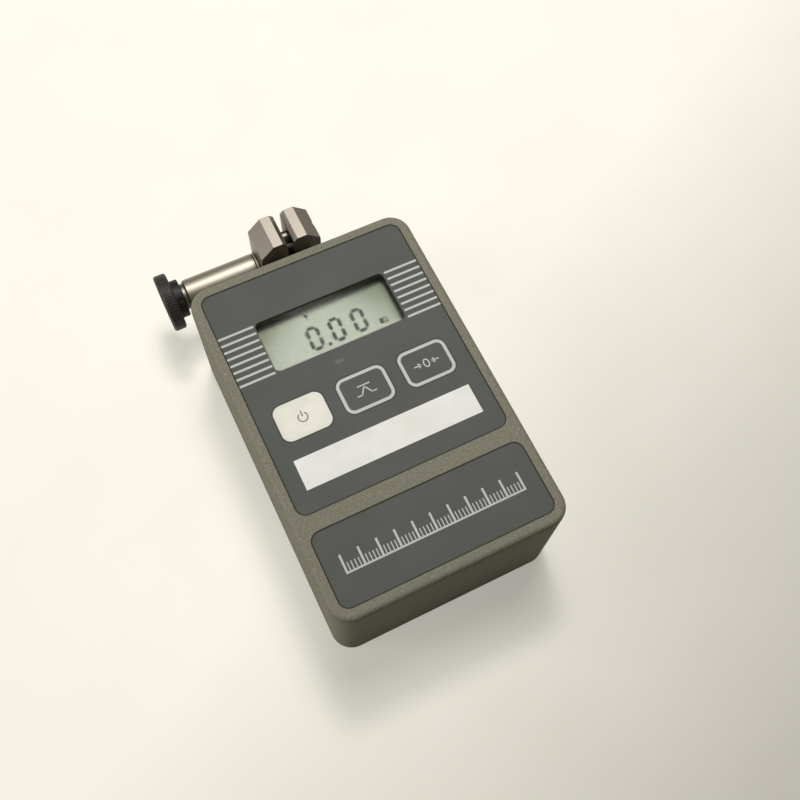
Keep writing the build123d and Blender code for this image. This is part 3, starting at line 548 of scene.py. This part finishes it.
def stroke(shape, points):
    """A pen line through the points, as quads joined end to end."""
    for (x0, y0), (x1, y1) in zip(points, points[1:]):
        length = math.hypot(x1 - x0, y1 - y0)
        nx, ny = -(y1 - y0) / length * SIGN_LINE / 2, (x1 - x0) / length * SIGN_LINE / 2
        flat_figure(shape, [(x0 + nx, y0 + ny), (x0 - nx, y0 - ny), (x1 - nx, y1 - ny),
                            (x1 + nx, y1 + ny)], *FILM_PRINT)


def power_sign(shape):
    x, y, _, _ = key_place("power_key")
    flat_ring(shape, arc(x, y - 0.2, POWER_R, *POWER_ARC),
              arc(x, y - 0.2, POWER_R - SIGN_LINE, *POWER_ARC),
              film_z - PRINT_SINK, film_z + PRINT_T + LAYER, closed=False)
    stroke(shape, [(x, y + 0.1), (x, y + 2.1)])


def peak_sign(shape):
    x, y, _, _ = key_place("hold_key")
    stroke(shape, [(x - 3.4, y - 1.5), (x - 1.7, y - 1.5)])
    stroke(shape, [(x - 1.8, y - 1.6), (x, y + 1.2), (x + 1.8, y - 1.6)])
    stroke(shape, [(x + 1.7, y - 1.5), (x + 3.4, y - 1.5)])
    stroke(shape, [(x - 2.2, y + 1.75), (x + 2.2, y + 1.75)])


def zero_sign(shape):
    x, y, _, _ = key_place("zero_key")
    outer, inner = ([(x + (ZERO_W - inset) * math.cos(math.tau * i / 32),
                      y + (ZERO_H - inset) * math.sin(math.tau * i / 32)) for i in range(32)]
                    for inset in (0.0, SIGN_LINE))
    flat_ring(shape, outer, inner, *FILM_PRINT)
    for side in (-1, 1):
        stroke(shape, [(x + side * 4.4, y), (x + side * 2.0, y)])
        stroke(shape, [(x + side * 2.9, y + 0.8), (x + side * 1.9, y), (x + side * 2.9, y - 0.8)])


mesh_piece("power_sign", power_sign, dark_ink, "power_key")
mesh_piece("peak_sign", peak_sign, ink, "hold_key")
mesh_piece("zero_sign", zero_sign, ink, "zero_key")

# %% [markdown]
# ## Painted shadow in the joint round each overlay
# Each overlay lies in a recess a little wider than itself. The narrow joint falls into shade, so a
# dark line of painted shadow follows the whole edge. It is a flat ring as wide as the joint and the
# lip of the film together.

# %% Painted shadow in the joints of the overlays
JOINT_W = 0.42
JOINT_REACH = 0.16
OVERLAY_R = 3.5
# Painted shadow: a dark ring laid over the joint round each overlay.
joint = plain_finish("painted_joint_shadow", paint(40, 39, 32), paint(54, 52, 43), 0.8, (0.7, 0.85), 0.01)
for name in ("upper_label", "lower_label"):
    low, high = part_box(name)
    middle = (low + high) / 2 / MM
    width, height = (high.x - low.x) / MM + JOINT_REACH, (high.y - low.y) / MM + JOINT_REACH

    def overlay_joint_shadow(shape):
        flat_ring(shape, rounded(middle.x, middle.y, width, height, OVERLAY_R),
                  rounded(middle.x, middle.y, width - 2 * JOINT_W, height - 2 * JOINT_W,
                          OVERLAY_R - JOINT_W), *FILM_PRINT)

    mesh_piece(name + "_joint", overlay_joint_shadow, joint, "housing")

# %% [markdown]
# ## Digits on the display
# The reading is three seven-segment digits with a point. Each segment is a bar with its corners cut,
# so that two bars meet at a slanting gap. One function places a bar between two corners of the
# digit's box and draws back both its ends, so the thin gaps come by themselves.

# %% Display digits
lcd_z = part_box("lcd_glass")[1].z / MM
LCD_PRINT = (lcd_z - PRINT_SINK, lcd_z + PRINT_T)
DIGIT_W = 4.8
DIGIT_H = 9.2
DIGIT_LEAN = 0.02
BAR_W = 1.32
BAR_GAP = 0.38
BAR_TIP = 0.4
DIGITS = ((-9.0, "0"), (-1.0, "0"), (7.0, "0"))
DIGIT_Y = 24.95
BARS = {"a": ((0, 2), (1, 2)), "b": ((1, 2), (1, 1)), "c": ((1, 1), (1, 0)), "d": ((0, 0), (1, 0)),
        "e": ((0, 0), (0, 1)), "f": ((0, 1), (0, 2)), "g": ((0, 1), (1, 1))}
LIT = {"0": "abcdef"}


def box_figure(x, y, width, height):
    """Corners of a rectangle whose lower left corner is at (x, y)."""
    return [(x, y), (x + width, y), (x + width, y + height), (x, y + height)]


def display_bar(shape, start, end, width, origin):
    """One segment: a bar with its corners cut, sheared to lean."""
    (x0, y0), (x1, y1) = start, end
    length = math.hypot(x1 - x0, y1 - y0)
    ux, uy = (x1 - x0) / length, (y1 - y0) / length
    half = width / 2
    tip = BAR_TIP * half
    first, last = BAR_GAP, length - BAR_GAP
    slope = half - tip
    profile = [(first, -tip), (first, tip), (first + slope, half), (last - slope, half),
               (last, tip), (last, -tip), (last - slope, -half), (first + slope, -half)]
    points = [(x0 + ux * u - uy * v, y0 + uy * u + ux * v) for u, v in profile]
    flat_figure(shape, [(origin[0] + px + DIGIT_LEAN * py, origin[1] + py) for px, py in points],
                *LCD_PRINT)


def reading(shape):
    inner_w, half_h = DIGIT_W - BAR_W, (DIGIT_H - BAR_W) / 2
    for left, digit in DIGITS:
        for key in LIT[digit]:
            (i0, j0), (i1, j1) = BARS[key]
            display_bar(shape, (i0 * inner_w, j0 * half_h), (i1 * inner_w, j1 * half_h), BAR_W,
                        (left + BAR_W / 2, DIGIT_Y + BAR_W / 2))
    flat_figure(shape, box_figure(-3.3, DIGIT_Y, 1.2, 1.1), *LCD_PRINT)


def small_marks(shape):
    """A small triangle above the digits, and the outline of a battery with its level after them."""
    figures = [[(-6.8, 38.9), (-5.2, 38.9), (-6.0, 36.9)],
               box_figure(15.5, 25.0, 2.8, 0.45), box_figure(15.5, 26.6, 2.8, 0.45),
               box_figure(15.5, 25.45, 0.45, 1.15), box_figure(17.85, 25.45, 0.45, 1.15),
               box_figure(15.95, 25.45, 1.0, 1.15)]
    for figure in figures:
        flat_figure(shape, figure, *LCD_PRINT)


mesh_piece("display_digits", reading, segment, "housing")
mesh_piece("display_marks", small_marks, segment, "housing")

# %% [markdown]
# ## A Geometry Nodes tree for rows of bars
# Eight light stripes stand on each side of the display, and a plain scale of ticks fills the lower
# overlay. All are rows of equal bars, so one tree makes them: a line of points, a bar on each, then
# Realize Instances to make them real faces. Its inputs are named for what they set. They are filled
# in by the socket's identifier, because that is the key under which the modifier keeps them.

# %% The tree and the function that runs it
def socket_of(tree, name):
    return next(item.identifier for item in tree.interface.items_tree
                if item.item_type == "SOCKET" and item.in_out == "INPUT" and item.name == name)


def new_tree(name, inputs):
    """A geometry tree with named inputs, and its two end nodes."""
    tree = bpy.data.node_groups.new(name, "GeometryNodeTree")
    tree.interface.new_socket("Geometry", in_out="INPUT", socket_type="NodeSocketGeometry")
    for label, kind in inputs:
        tree.interface.new_socket(label, in_out="INPUT", socket_type="NodeSocket" + kind)
    tree.interface.new_socket("Geometry", in_out="OUTPUT", socket_type="NodeSocketGeometry")
    return tree, tree.nodes.new("NodeGroupInput"), tree.nodes.new("NodeGroupOutput")


def close_tree(tree, begin, end, geometry):
    """Realize the instances and set the material, the last two steps of every tree here."""
    real = tree.nodes.new("GeometryNodeRealizeInstances")
    coat_node = tree.nodes.new("GeometryNodeSetMaterial")
    tree.links.new(geometry, real.inputs[0])
    tree.links.new(real.outputs[0], coat_node.inputs["Geometry"])
    tree.links.new(begin.outputs["Material"], coat_node.inputs["Material"])
    tree.links.new(coat_node.outputs[0], end.inputs[0])


def grown(name, tree, values, finish, body, replaces=()):
    """Run a tree on an empty mesh, keep the result as a plain mesh and hang it on its body."""
    seed = bpy.data.objects.new(name + "_seed", bpy.data.meshes.new(name + "_seed"))
    bpy.context.scene.collection.objects.link(seed)
    modifier = seed.modifiers.new("grow", "NODES")
    modifier.node_group = tree
    for label, value in {**values, "Material": finish.material}.items():
        modifier[socket_of(tree, label)] = value
    depsgraph = bpy.context.evaluated_depsgraph_get()
    mesh = bpy.data.meshes.new_from_object(seed.evaluated_get(depsgraph), depsgraph=depsgraph)
    mesh.name = name
    seed.modifiers.remove(modifier)
    bpy.data.objects.remove(seed)
    # The empty seed leaves a blank first slot behind, so the mesh gets its one material afresh.
    mesh.materials.clear()
    mesh.materials.append(finish.material)
    for face in mesh.polygons:
        face.material_index = 0
        face.use_smooth = False
    piece = bpy.data.objects.new(name, mesh)
    bpy.context.scene.collection.objects.link(piece)
    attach(piece, body)
    if replaces:
        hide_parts(*replaces)
    print(name, "-", len(mesh.polygons), "faces")


row_tree, begin, end = new_tree("row_of_bars", [
    ("First", "Vector"), ("Step", "Vector"), ("Bar", "Vector"), ("Count", "Int"),
    ("Material", "Material")])
line = row_tree.nodes.new("GeometryNodeMeshLine")
line.mode = "OFFSET"
bar = row_tree.nodes.new("GeometryNodeMeshCube")
place = row_tree.nodes.new("GeometryNodeInstanceOnPoints")
row_tree.links.new(begin.outputs["Count"], line.inputs["Count"])
row_tree.links.new(begin.outputs["First"], line.inputs["Start Location"])
row_tree.links.new(begin.outputs["Step"], line.inputs["Offset"])
row_tree.links.new(begin.outputs["Bar"], bar.inputs["Size"])
row_tree.links.new(line.outputs[0], place.inputs["Points"])
row_tree.links.new(bar.outputs["Mesh"], place.inputs["Instance"])
close_tree(row_tree, begin, end, place.outputs[0])

STRIPE_TOP = 40.25
STRIPE_PITCH = 2.6
STRIPE_T = 0.8
STRIPES = 8
for side, near, far in (("left", -23.5, -35.9), ("right", 23.8, 35.9)):
    grown(f"stripes_{side}", row_tree,
          {"First": Vector(((near + far) / 2, STRIPE_TOP, film_z + PRINT_T / 2 - PRINT_SINK)) * MM,
           "Step": Vector((0, -STRIPE_PITCH, 0)) * MM,
           "Bar": Vector((abs(far - near), STRIPE_T, PRINT_T)) * MM, "Count": STRIPES},
          ink, "housing")

# %% The scale on the lower overlay
SCALE_W = 60.0
SCALE_Y = -46.6
RULE_T = 0.6
RULE_OVER = 0.35
TICKS = (("scale_fine", 51, 3.0, 0.34, 1), ("scale_main", 11, 6.0, 0.7, 2))
for name, count, height, width, layer in TICKS:
    thick = PRINT_T + layer * LAYER
    grown(name, row_tree,
          {"First": Vector((-SCALE_W / 2, SCALE_Y + height / 2,
                            film_z + thick / 2 - PRINT_SINK)) * MM,
           "Step": Vector((SCALE_W / (count - 1), 0, 0)) * MM,
           "Bar": Vector((width, height, thick)) * MM, "Count": count},
          ink, "housing")


def scale_rule(shape):
    half_w, half_t = SCALE_W / 2 + RULE_OVER, RULE_T / 2
    flat_figure(shape, [(-half_w, SCALE_Y - half_t), (half_w, SCALE_Y - half_t),
                        (half_w, SCALE_Y + half_t), (-half_w, SCALE_Y + half_t)], *FILM_PRINT)


mesh_piece("scale_rule", scale_rule, ink, "housing")

# %% [markdown]
# ## Cross-recess screws
# Four flat-head screws hold the back cover and two more hold the block of the load cell. One screw
# is modelled in mesh code: a turned body whose head carries a tapered cross recess. A tree then sets
# it on a grid of points, each screw turned by its own random angle, since nobody stops a screwdriver
# at the same place twice. The places come from the boxes of the CAD screws, which the grown screws
# replace. The box of a single row also gives the size of its heads. The head size of the cover screws
# is given, since their box is far wider than a head.

# %% The screw
def turned_rings(shape, profile, segments):
    """Rings of vertices for a profile of (radius, z) pairs, joined into a skin."""
    rings = [[shape.verts.new(Vector((radius * math.cos(math.tau * i / segments),
                                      radius * math.sin(math.tau * i / segments), z)) * MM)
              for i in range(segments)] for radius, z in profile]
    for first, second in zip(rings, rings[1:]):
        for i in range(segments):
            j = (i + 1) % segments
            shape.faces.new((first[i], first[j], second[j], second[i]))
    return rings


def cross_screw(name, head_r, shank_r, length):
    """Mesh of a flat-head screw with its head at z 0 and its point along +Z."""
    shape = bmesh.new()
    tip = 0.5
    rings = turned_rings(shape, ((head_r, 0), (head_r - 0.1, 0.25), (shank_r, head_r - shank_r),
                                 (shank_r, length - tip), (shank_r - tip, length)), 48)
    shape.faces.new(rings[-1])
    arm, half, depth, taper = 0.62 * head_r, 0.15 * head_r, 0.5 * head_r, 0.6
    corners = [(half, arm), (half, half), (arm, half), (arm, -half), (half, -half), (half, -arm),
               (-half, -arm), (-half, -half), (-arm, -half), (-arm, half), (-half, half), (-half, arm)]
    mouth = [shape.verts.new(Vector((x, y, 0)) * MM) for x, y in corners]
    base = [shape.verts.new(Vector((x * taper, y * taper, depth)) * MM) for x, y in corners]
    for i in range(len(corners)):
        j = (i + 1) % len(corners)
        shape.faces.new((mouth[i], mouth[j], base[j], base[i]))
    shape.faces.new(base)
    rim = [shape.edges.get((ring[i], ring[(i + 1) % len(ring)])) for ring in (rings[0], mouth)
           for i in range(len(ring))]
    bmesh.ops.triangle_fill(shape, use_beauty=True, edges=rim)
    bmesh.ops.recalc_face_normals(shape, faces=shape.faces)
    mesh = bpy.data.meshes.new(name)
    shape.to_mesh(mesh)
    shape.free()
    screw = bpy.data.objects.new(name, mesh)
    bpy.context.scene.collection.objects.link(screw)
    return screw


# %% [markdown]
# The tree nests two lines of points, one along each side of the grid, and a Random Value with a
# fixed seed turns each screw about its own axis.

# %% The tree of screws
screw_tree, begin, end = new_tree("grid_of_screws", [
    ("Screw", "Object"), ("First", "Vector"), ("Across", "Vector"), ("Up", "Vector"), ("Columns", "Int"),
    ("Rows", "Int"), ("Seed", "Int"), ("Material", "Material")])
row_line = screw_tree.nodes.new("GeometryNodeMeshLine")
column_line = screw_tree.nodes.new("GeometryNodeMeshLine")
for line_node, count, step in ((row_line, "Rows", "Up"), (column_line, "Columns", "Across")):
    line_node.mode = "OFFSET"
    screw_tree.links.new(begin.outputs[count], line_node.inputs["Count"])
    screw_tree.links.new(begin.outputs[step], line_node.inputs["Offset"])
screw_tree.links.new(begin.outputs["First"], row_line.inputs["Start Location"])
grid = screw_tree.nodes.new("GeometryNodeInstanceOnPoints")
grid_real = screw_tree.nodes.new("GeometryNodeRealizeInstances")
screw_tree.links.new(row_line.outputs[0], grid.inputs["Points"])
screw_tree.links.new(column_line.outputs[0], grid.inputs["Instance"])
screw_tree.links.new(grid.outputs[0], grid_real.inputs[0])
screw_info = screw_tree.nodes.new("GeometryNodeObjectInfo")
screw_tree.links.new(begin.outputs["Screw"], screw_info.inputs["Object"])
angle = screw_tree.nodes.new("FunctionNodeRandomValue")
angle.data_type = "FLOAT_VECTOR"
angle.inputs["Min"].default_value = (0, 0, 0)
angle.inputs["Max"].default_value = (0, 0, math.tau)
screw_tree.links.new(begin.outputs["Seed"], angle.inputs["Seed"])
set_screws = screw_tree.nodes.new("GeometryNodeInstanceOnPoints")
screw_tree.links.new(grid_real.outputs[0], set_screws.inputs["Points"])
screw_tree.links.new(screw_info.outputs["Geometry"], set_screws.inputs["Instance"])
screw_tree.links.new(angle.outputs["Value"], set_screws.inputs["Rotation"])
close_tree(screw_tree, begin, end, set_screws.outputs[0])

COVER_HEAD_R = 3.4
for node, shank_r, rows, seed in (("cover_screws", 1.75, 2, 7), ("anchor_screws", 2.0, 1, 3)):
    low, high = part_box(node)
    head_r = (high.y - low.y) / 2 / MM if rows == 1 else COVER_HEAD_R
    screw = cross_screw(node + "_pattern", head_r, shank_r, high.z / MM)
    inset = Vector((head_r, head_r, 0)) * MM
    span = high - low - 2 * inset
    grown(node + "_turned", screw_tree,
          {"Screw": screw, "First": Vector((low.x, low.y, 0)) + inset, "Across": Vector((span.x, 0, 0)),
           "Up": Vector((0, span.y, 0)), "Columns": 2, "Rows": rows, "Seed": seed},
          plain_steel, "housing", replaces=(node,))
    bpy.data.objects.remove(screw)

# %% [markdown]
# ## The thread of the clamp screw
# Between the jaws the clamp screw shows its thread, twenty turns to the inch. In Geometry Nodes a
# thread is a curve and a profile: a spiral of constant radius, and a small six-sided circle swept
# along it. The plain shank is turned in mesh code and joined to the sweep in the tree, and the
# result replaces the plain CAD rod.

# %% The threaded screw
THREAD_PITCH = 1.27
THREAD_FROM = 0.5
THREAD_R = 0.42
GROOVE_R = 2.6
GROOVE_FROM, GROOVE_TO = -2.05, -1.05
low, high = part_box("clamp_screw")
screw_from, screw_to = low.x / MM, high.x / MM
screw_r = (high.z - low.z) / 2 / MM
core_r = screw_r - 0.56
thread_end = screw_to - 0.35
shank_profile = ((screw_r - 0.3, screw_from), (screw_r, screw_from + 0.3), (screw_r, GROOVE_FROM),
                 (GROOVE_R, GROOVE_FROM), (GROOVE_R, GROOVE_TO), (screw_r, GROOVE_TO),
                 (screw_r, THREAD_FROM - 0.4), (core_r, THREAD_FROM), (core_r, screw_to - 0.4),
                 (core_r - 0.4, screw_to))
shank_shape = bmesh.new()
shank_rings = turned_rings(shank_shape, shank_profile, 48)
shank_shape.faces.new(shank_rings[0])
shank_shape.faces.new(shank_rings[-1])
bmesh.ops.recalc_face_normals(shank_shape, faces=shank_shape.faces)
shank_mesh = bpy.data.meshes.new("clamp_shank")
shank_shape.to_mesh(shank_mesh)
shank_shape.free()
shank = bpy.data.objects.new("clamp_shank", shank_mesh)
bpy.context.scene.collection.objects.link(shank)

thread_tree, begin, end = new_tree("screw_thread", [
    ("Shank", "Object"), ("Turns", "Float"), ("Length", "Float"), ("Radius", "Float"), ("Ridge", "Float"),
    ("Start", "Float"), ("Axis Place", "Vector"), ("Material", "Material")])
spiral = thread_tree.nodes.new("GeometryNodeCurveSpiral")
spiral.inputs["Resolution"].default_value = 28
thread_tree.links.new(begin.outputs["Turns"], spiral.inputs["Rotations"])
thread_tree.links.new(begin.outputs["Length"], spiral.inputs["Height"])
for socket in ("Start Radius", "End Radius"):
    thread_tree.links.new(begin.outputs["Radius"], spiral.inputs[socket])
ridge = thread_tree.nodes.new("GeometryNodeCurvePrimitiveCircle")
ridge.inputs["Resolution"].default_value = 6
thread_tree.links.new(begin.outputs["Ridge"], ridge.inputs["Radius"])
sweep = thread_tree.nodes.new("GeometryNodeCurveToMesh")
sweep.inputs["Fill Caps"].default_value = True
thread_tree.links.new(spiral.outputs[0], sweep.inputs["Curve"])
thread_tree.links.new(ridge.outputs[0], sweep.inputs["Profile Curve"])
rise = thread_tree.nodes.new("ShaderNodeCombineXYZ")
thread_tree.links.new(begin.outputs["Start"], rise.inputs["Z"])
lifted = thread_tree.nodes.new("GeometryNodeTransform")
thread_tree.links.new(sweep.outputs[0], lifted.inputs["Geometry"])
thread_tree.links.new(rise.outputs[0], lifted.inputs["Translation"])
shank_info = thread_tree.nodes.new("GeometryNodeObjectInfo")
thread_tree.links.new(begin.outputs["Shank"], shank_info.inputs["Object"])
together = thread_tree.nodes.new("GeometryNodeJoinGeometry")
thread_tree.links.new(lifted.outputs[0], together.inputs[0])
thread_tree.links.new(shank_info.outputs["Geometry"], together.inputs[0])
laid = thread_tree.nodes.new("GeometryNodeTransform")
laid.inputs["Rotation"].default_value = (0, math.pi / 2, 0)
thread_tree.links.new(together.outputs[0], laid.inputs["Geometry"])
thread_tree.links.new(begin.outputs["Axis Place"], laid.inputs["Translation"])
close_tree(thread_tree, begin, end, laid.outputs[0])

thread_length = thread_end - THREAD_FROM
grown("threaded_clamp_screw", thread_tree,
      {"Shank": shank, "Turns": thread_length / THREAD_PITCH, "Length": thread_length * MM,
       "Radius": (screw_r - THREAD_R) * MM, "Ridge": THREAD_R * MM, "Start": THREAD_FROM * MM,
       "Axis Place": Vector((0, GRIP_LINE.y, GRIP_LINE.z))},
      gun_steel, "clamp_screw", replaces=("clamp_screw",))
bpy.data.objects.remove(shank)

# %% [markdown]
# ## Floor, light and camera
# The gauge lies on a pale table. Two round lamps hang overhead, behind the grip end: a wide one makes
# the broad soft shadow towards the lower end, and a smaller one draws the arc of light on the
# display. A weak lamp stands low on the left for the long side of the case. The table is brighter at
# the far left and falls off to the near right, which a ramp of glow across it gives without a
# stronger lamp. The glow is seen directly and in mirrors, and it lights nothing.

# %% Floor
FLOOR = 3.0
FLOOR_Z = -0.02 * MM
GLOW_WAY = (-0.45, 0.9, 0.0)
floor_finish = Finish("pale_table")
dust = floor_finish.noise(60.0, detail=4.0)
specks = floor_finish.ramp(floor_finish.noise(9.0, detail=3.0), 0.70, 0.78, 0.0, 0.25)
tone = floor_finish.mix(floor_finish.ramp(dust, 0.3, 0.7), paint(194, 191, 182), paint(190, 187, 177))
floor_finish.colour(floor_finish.mix(specks, tone, paint(172, 166, 154)))
floor_finish.rough(floor_finish.ramp(dust, 0.3, 0.7, 0.6, 0.75))
floor_finish.bump(floor_finish.noise(2.5, detail=3.0), 0.02, 0.3)
rays = floor_finish.tree.nodes.new("ShaderNodeLightPath").outputs
seen_rays = floor_finish.math("MAXIMUM", rays["Is Camera Ray"], rays["Is Glossy Ray"])
seen_rays = floor_finish.math("MAXIMUM", seen_rays, rays["Is Transmission Ray"])
across = floor_finish.tree.nodes.new("ShaderNodeVectorMath")
across.operation = "DOT_PRODUCT"
across.inputs[1].default_value = GLOW_WAY
floor_finish.link(floor_finish.coords, across.inputs[0])
glow = floor_finish.ramp(across.outputs["Value"], -0.175, 0.0, 0.15, 0.50)
floor_finish.put(floor_finish.shader.inputs["Emission Color"], paint(255, 252, 241))
seen_glow = floor_finish.math("MULTIPLY", seen_rays, glow)
floor_finish.put(floor_finish.shader.inputs["Emission Strength"], seen_glow)
floor_mesh = bpy.data.meshes.new("table_top")
floor_mesh.from_pydata([(-FLOOR, -FLOOR, FLOOR_Z), (FLOOR, -FLOOR, FLOOR_Z), (FLOOR, FLOOR, FLOOR_Z),
                        (-FLOOR, FLOOR, FLOOR_Z)], [], [(0, 1, 2, 3)])
floor_mesh.materials.append(floor_finish.material)
table_top = bpy.data.objects.new("table_top", floor_mesh)
bpy.context.scene.collection.objects.link(table_top)
table_top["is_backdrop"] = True

# %% Light
world = bpy.data.worlds.new("soft_room")
bpy.context.scene.world = world
world.use_nodes = True
sky = world.node_tree.nodes["Background"]
sky.inputs["Color"].default_value = (1.0, 0.97, 0.93, 1.0)
sky.inputs["Strength"].default_value = 0.08


LAMP_TINT = (1.0, 0.98, 0.95)


def soft_lamp(name, place_at, aim_at, size, watts, shape="SQUARE"):
    """An area lamp at a place, aimed at a point."""
    lamp = bpy.data.lights.new(name, "AREA")
    lamp.shape = shape
    lamp.size = size
    lamp.energy = watts
    lamp.color = LAMP_TINT
    holder = bpy.data.objects.new(name, lamp)
    bpy.context.scene.collection.objects.link(holder)
    holder.location = place_at
    holder.rotation_euler = (Vector(aim_at) - Vector(place_at)).to_track_quat("-Z", "Y").to_euler()


soft_lamp("wide_lamp", (0.172, 0.307, 1.0), (0.172, 0.308, 0), 0.476, 5.3, shape="DISK")
soft_lamp("round_lamp", (0.166, 0.434, 1.0), (0.166, 0.435, 0), 0.21, 3.5, shape="DISK")
soft_lamp("side_lamp", (-1.1, 0.25, 0.32), (0, 0, 0), 0.6, 5.5)

# %% Camera
CAMERA_AT = Vector((-52.51, -108.47, 332.51)) * MM
CAMERA_AIM = Vector((8.265, -3.618, 47.8)) * MM
CAMERA_ROLL = 4.343
CAMERA_LENS = 43.96
camera_data = bpy.data.cameras.new("camera")
camera_data.sensor_width = 36.0
camera_data.lens = CAMERA_LENS
camera_data.clip_start = 0.01
camera = bpy.data.objects.new("camera", camera_data)
bpy.context.scene.collection.objects.link(camera)
camera.location = CAMERA_AT
camera.rotation_mode = "QUATERNION"
camera.rotation_quaternion = ((CAMERA_AIM - CAMERA_AT).to_track_quat("-Z", "Y")
                              @ Quaternion((0, 0, 1), math.radians(CAMERA_ROLL)))
bpy.context.scene.camera = camera
bpy.context.scene.view_settings.view_transform = "Standard"

# %% Size and finish
low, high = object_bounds()
print("CAD box", [round(1000 * v, 2) for v in (*cad_low, *cad_high)])
print("seen box", [round(1000 * v, 2) for v in (*low, *high)])
